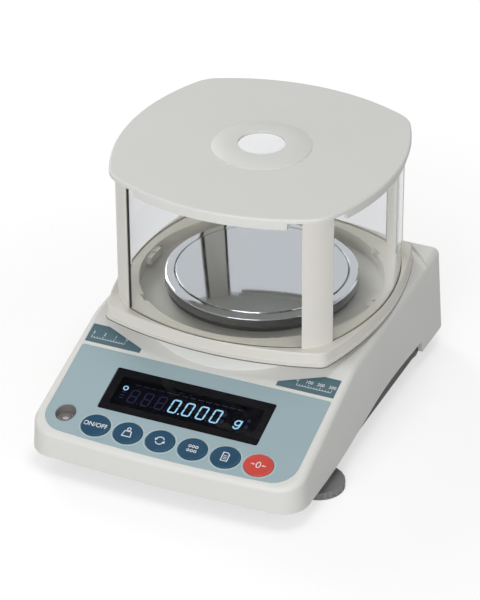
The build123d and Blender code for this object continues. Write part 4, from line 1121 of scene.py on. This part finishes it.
def plate_marks(node, side, number_step):
    """Fine printed graduation on a dark plate: a line, short and long ticks, and numbers.

    It's drawn in millimetres. The side is -1 for the left plate and 1 for the right one.
    """
    margin, length, drop, parts, long_every = 3.0, 24.0, 3.8, 12, 4
    centre = panel.where(middle(node)) / MM
    outer_end = centre[0] + side * (half_size(node)[0] / MM - margin)
    inner_end = outer_end - side * length
    row = centre[1] - drop
    line = pen(0.3, -print_depth, 0.0)
    marks = [line([(inner_end, row), (outer_end, row)], 0.35)]
    for index in range(parts + 1):
        x = inner_end + (outer_end - inner_end) * index / parts
        numbered = index % long_every == 0
        marks.append(line([(x, row), (x, row + (2.2 if numbered else 1.2))]))
        if numbered:
            points, faces = lettering(str(index // long_every * number_step), 3.4, 0.01)
            marks.append((points * [1, 1, 0.2] + [x - side * 0.4, row + 4.1, 0], faces))

    def place(points):
        return panel.point(points * MM, panel.lift(node) + ink)

    piece(f"marks_{node}", marks, print_white, "housing", "badge_teal", place=place)


plate_marks("badge_left", -1, 1)
plate_marks("badge_right", 1, 100)

# Prints on the rear panel and the underside

rear_line = pen(0.4, -0.05, 0.05)


def rear_dot(x, y, radius, steps):
    """Filled round dot of a symbol on the rear panel."""
    return prism(circle(x, y, radius, steps), -0.05, 0.05)


def plug_symbol():
    """Polarity of a plug: minus and plus in rings, joined to its socket and pin."""
    ring_x, ring, sign = 4.1, 1.1, 0.5
    shapes = [
        rear_line(circle(0, 0, ring, 20, 40, 320)), rear_dot(0, 0, 0.45, 16),
        rear_line([(-3.0, 0), (-ring, 0)]), rear_line([(0.4, 0), (3.0, 0)]),
    ]
    for x in (-ring_x, ring_x):
        shapes += [rear_line(circle(x, 0, ring, 20), closed=True),
                   rear_line([(x - sign, 0), (x + sign, 0)], 0.3)]
    return [*shapes, rear_line([(ring_x, -sign), (ring_x, sign)], 0.3)]


def data_symbol():
    """Outline of a data socket with two rows of pins."""
    half_top, half_foot, half_height, row = 3.4, 2.7, 1.1, 0.4
    outline = [(-half_top, half_height), (half_top, half_height), (half_foot, -half_height),
               (-half_foot, -half_height)]
    pins = [rear_dot(x, y, 0.24, 10) for half, count, y in ((2.2, 5, row), (1.65, 4, -row))
            for x in np.linspace(-half, half, count)]
    return [rear_line(outline, closed=True), *pins]


def earth_symbol():
    """Upright over three bars that get shorter downwards."""
    upright = rear_line([(0, 2.0), (0, 0.1)])
    widths = ((1.7, 0), (1.1, -0.75), (0.5, -1.5))
    return [upright] + [rear_line([(-half, y), (half, y)]) for half, y in widths]


def rear_symbols():
    """Printed symbols over the sockets, seen from behind, so their x runs against the frame's."""
    wall_y, row_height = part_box("power_jack")[1].y - 0.6 * MM, 46.5 * MM
    for name, node, draw in (("power", "power_jack", plug_symbol),
                             ("data", "serial_port", data_symbol),
                             ("earth", "earth_terminal", earth_symbol)):
        x = middle(node).x

        def place(points):
            return points[:, [0, 2, 1]] * [-MM, MM, MM] + [x, wall_y, row_height]

        piece(f"symbol_{name}_socket", draw(), print_grey, "housing", "dark_plastic", place=place)


def plate_lines():
    """Empty table printed on the rating plate under the tray: a border, four rows, an upright."""
    half_x, half_y = (half - 2.0 * MM for half in half_size("rating_plate")[:2])
    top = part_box("rating_plate")[0].z + 0.02 * MM
    line = pen(0.35 * MM, top - ink, top)
    shapes = [line(rectangle(2 * half_x, 2 * half_y), closed=True)]
    shapes += [line([(-half_x, y), (half_x, y)]) for y in np.linspace(-half_y, half_y, 6)[1:-1]]
    shapes.append(line([(-half_x / 3, -half_y), (-half_x / 3, half_y)]))
    centre = middle("rating_plate")
    piece("plate_lines", shapes, print_grey, "housing", "grey_plastic",
          place=lambda points: points + [centre.x, centre.y, 0])


rear_symbols()
plate_lines()

# Floor, surroundings and lamps


surround_light = 0.26        # strength for light that spreads
ceiling_grey = 0.12          # strength of what is seen high up
lamp_aim = Vector((0, 0, 0.08))


def seen_rays(tree):
    """One where the camera, metal or glass sees a surface, and nothing for light that spreads."""
    path = add(tree, "ShaderNodeLightPath").outputs
    seen = maths(tree, "MAXIMUM", path["Is Camera Ray"], path["Is Glossy Ray"])
    return maths(tree, "MAXIMUM", seen, path["Is Transmission Ray"])


def make_floor():
    """Pale floor that also shows white to the camera, and keeps the object's shadow.

    Its glow grows with the distance from the balance. Seen through glass the floor is painted
    greyer: painted shade on what shows through the panes.
    """
    side, grey, shade_through_glass = 16.0, 0.50, 0.78
    near, far, near_glow, far_glow = 0.2, 1.2, 0.60, 0.97
    mesh = bpy.data.meshes.new("floor")
    mesh.from_pydata([(x, y, 0) for x, y in rectangle(side, side)], [], [(0, 1, 2, 3)])
    floor = bpy.data.objects.new("floor", mesh)
    bpy.context.scene.collection.objects.link(floor)
    material, tree, output = new_material("floor_white")
    # Painted shade: the floor is greyer where it is seen through glass.
    glass = add(tree, "ShaderNodeLightPath").outputs["Is Transmission Ray"]
    share = ramp(tree, glass, 0.0, 1.0, 1.0, shade_through_glass)
    matt = add(tree, "ShaderNodeBsdfDiffuse", {"Color": maths(tree, "MULTIPLY", share, grey)})
    distance = add(tree, "ShaderNodeVectorMath", {0: place_on(tree)}, operation="LENGTH")
    paler = ramp(tree, distance.outputs["Value"], near, far, near_glow, far_glow)
    strength = maths(tree, "MULTIPLY", seen_rays(tree), paler)
    strength = maths(tree, "MULTIPLY", strength, share)
    glow = add(tree, "ShaderNodeEmission", {"Strength": strength})
    both = add(tree, "ShaderNodeAddShader", {0: matt.outputs[0], 1: glow.outputs[0]})
    tree.links.new(both.outputs[0], output.inputs["Surface"])
    mesh.materials.append(material)


def make_world():
    """Weak even light from all round; pale where the camera, metal and glass see it.

    What they see is white up to a height angle of about 40 degrees and grey above, as under a
    studio's ceiling. The height is the third part of the direction.
    """
    white_up_to, grey_from = 0.64, 0.82
    world = bpy.data.worlds.new("studio")
    bpy.context.scene.world = world
    world.use_nodes = True
    tree = world.node_tree
    tree.nodes.clear()
    output = add(tree, "ShaderNodeOutputWorld")
    height = add(tree, "ShaderNodeSeparateXYZ",
                 {"Vector": add(tree, "ShaderNodeTexCoord").outputs["Generated"]})
    ceiling = ramp(tree, height.outputs["Z"], white_up_to, grey_from, 1.0, ceiling_grey)
    strength = add(tree, "ShaderNodeMix", {
        "Factor": seen_rays(tree), 2: surround_light, 3: ceiling}, data_type="FLOAT")
    back = add(tree, "ShaderNodeBackground", {"Strength": strength.outputs[0]})
    tree.links.new(back.outputs[0], output.inputs["Surface"])


def make_lamp(name, direction, distance, side, power):
    """Square soft lamp that shines from a direction at the object."""
    data = bpy.data.lights.new(name, "AREA")
    data.size = side
    data.energy = power
    lamp = bpy.data.objects.new(name, data)
    bpy.context.scene.collection.objects.link(lamp)
    direction = Vector(direction).normalized()
    lamp.matrix_world = (
        Matrix.Translation(direction * distance + lamp_aim)
        @ (-direction).to_track_quat("-Z", "Y").to_matrix().to_4x4()
    )


make_floor()
make_world()
make_lamp("key_lamp", (0.05, -0.92, 0.30), distance=1.8, side=1.1, power=17.0)
make_lamp("top_lamp", (0.10, 0.0, 0.99), distance=2.2, side=0.9, power=12.0)
make_lamp("fill_lamp", (0.80, -0.36, 0.42), distance=2.2, side=1.4, power=6.5)
make_lamp("rear_lamp", (-0.70, 0.55, 0.46), distance=2.2, side=0.8, power=13.0)
bpy.context.scene.view_settings.view_transform = "Standard"
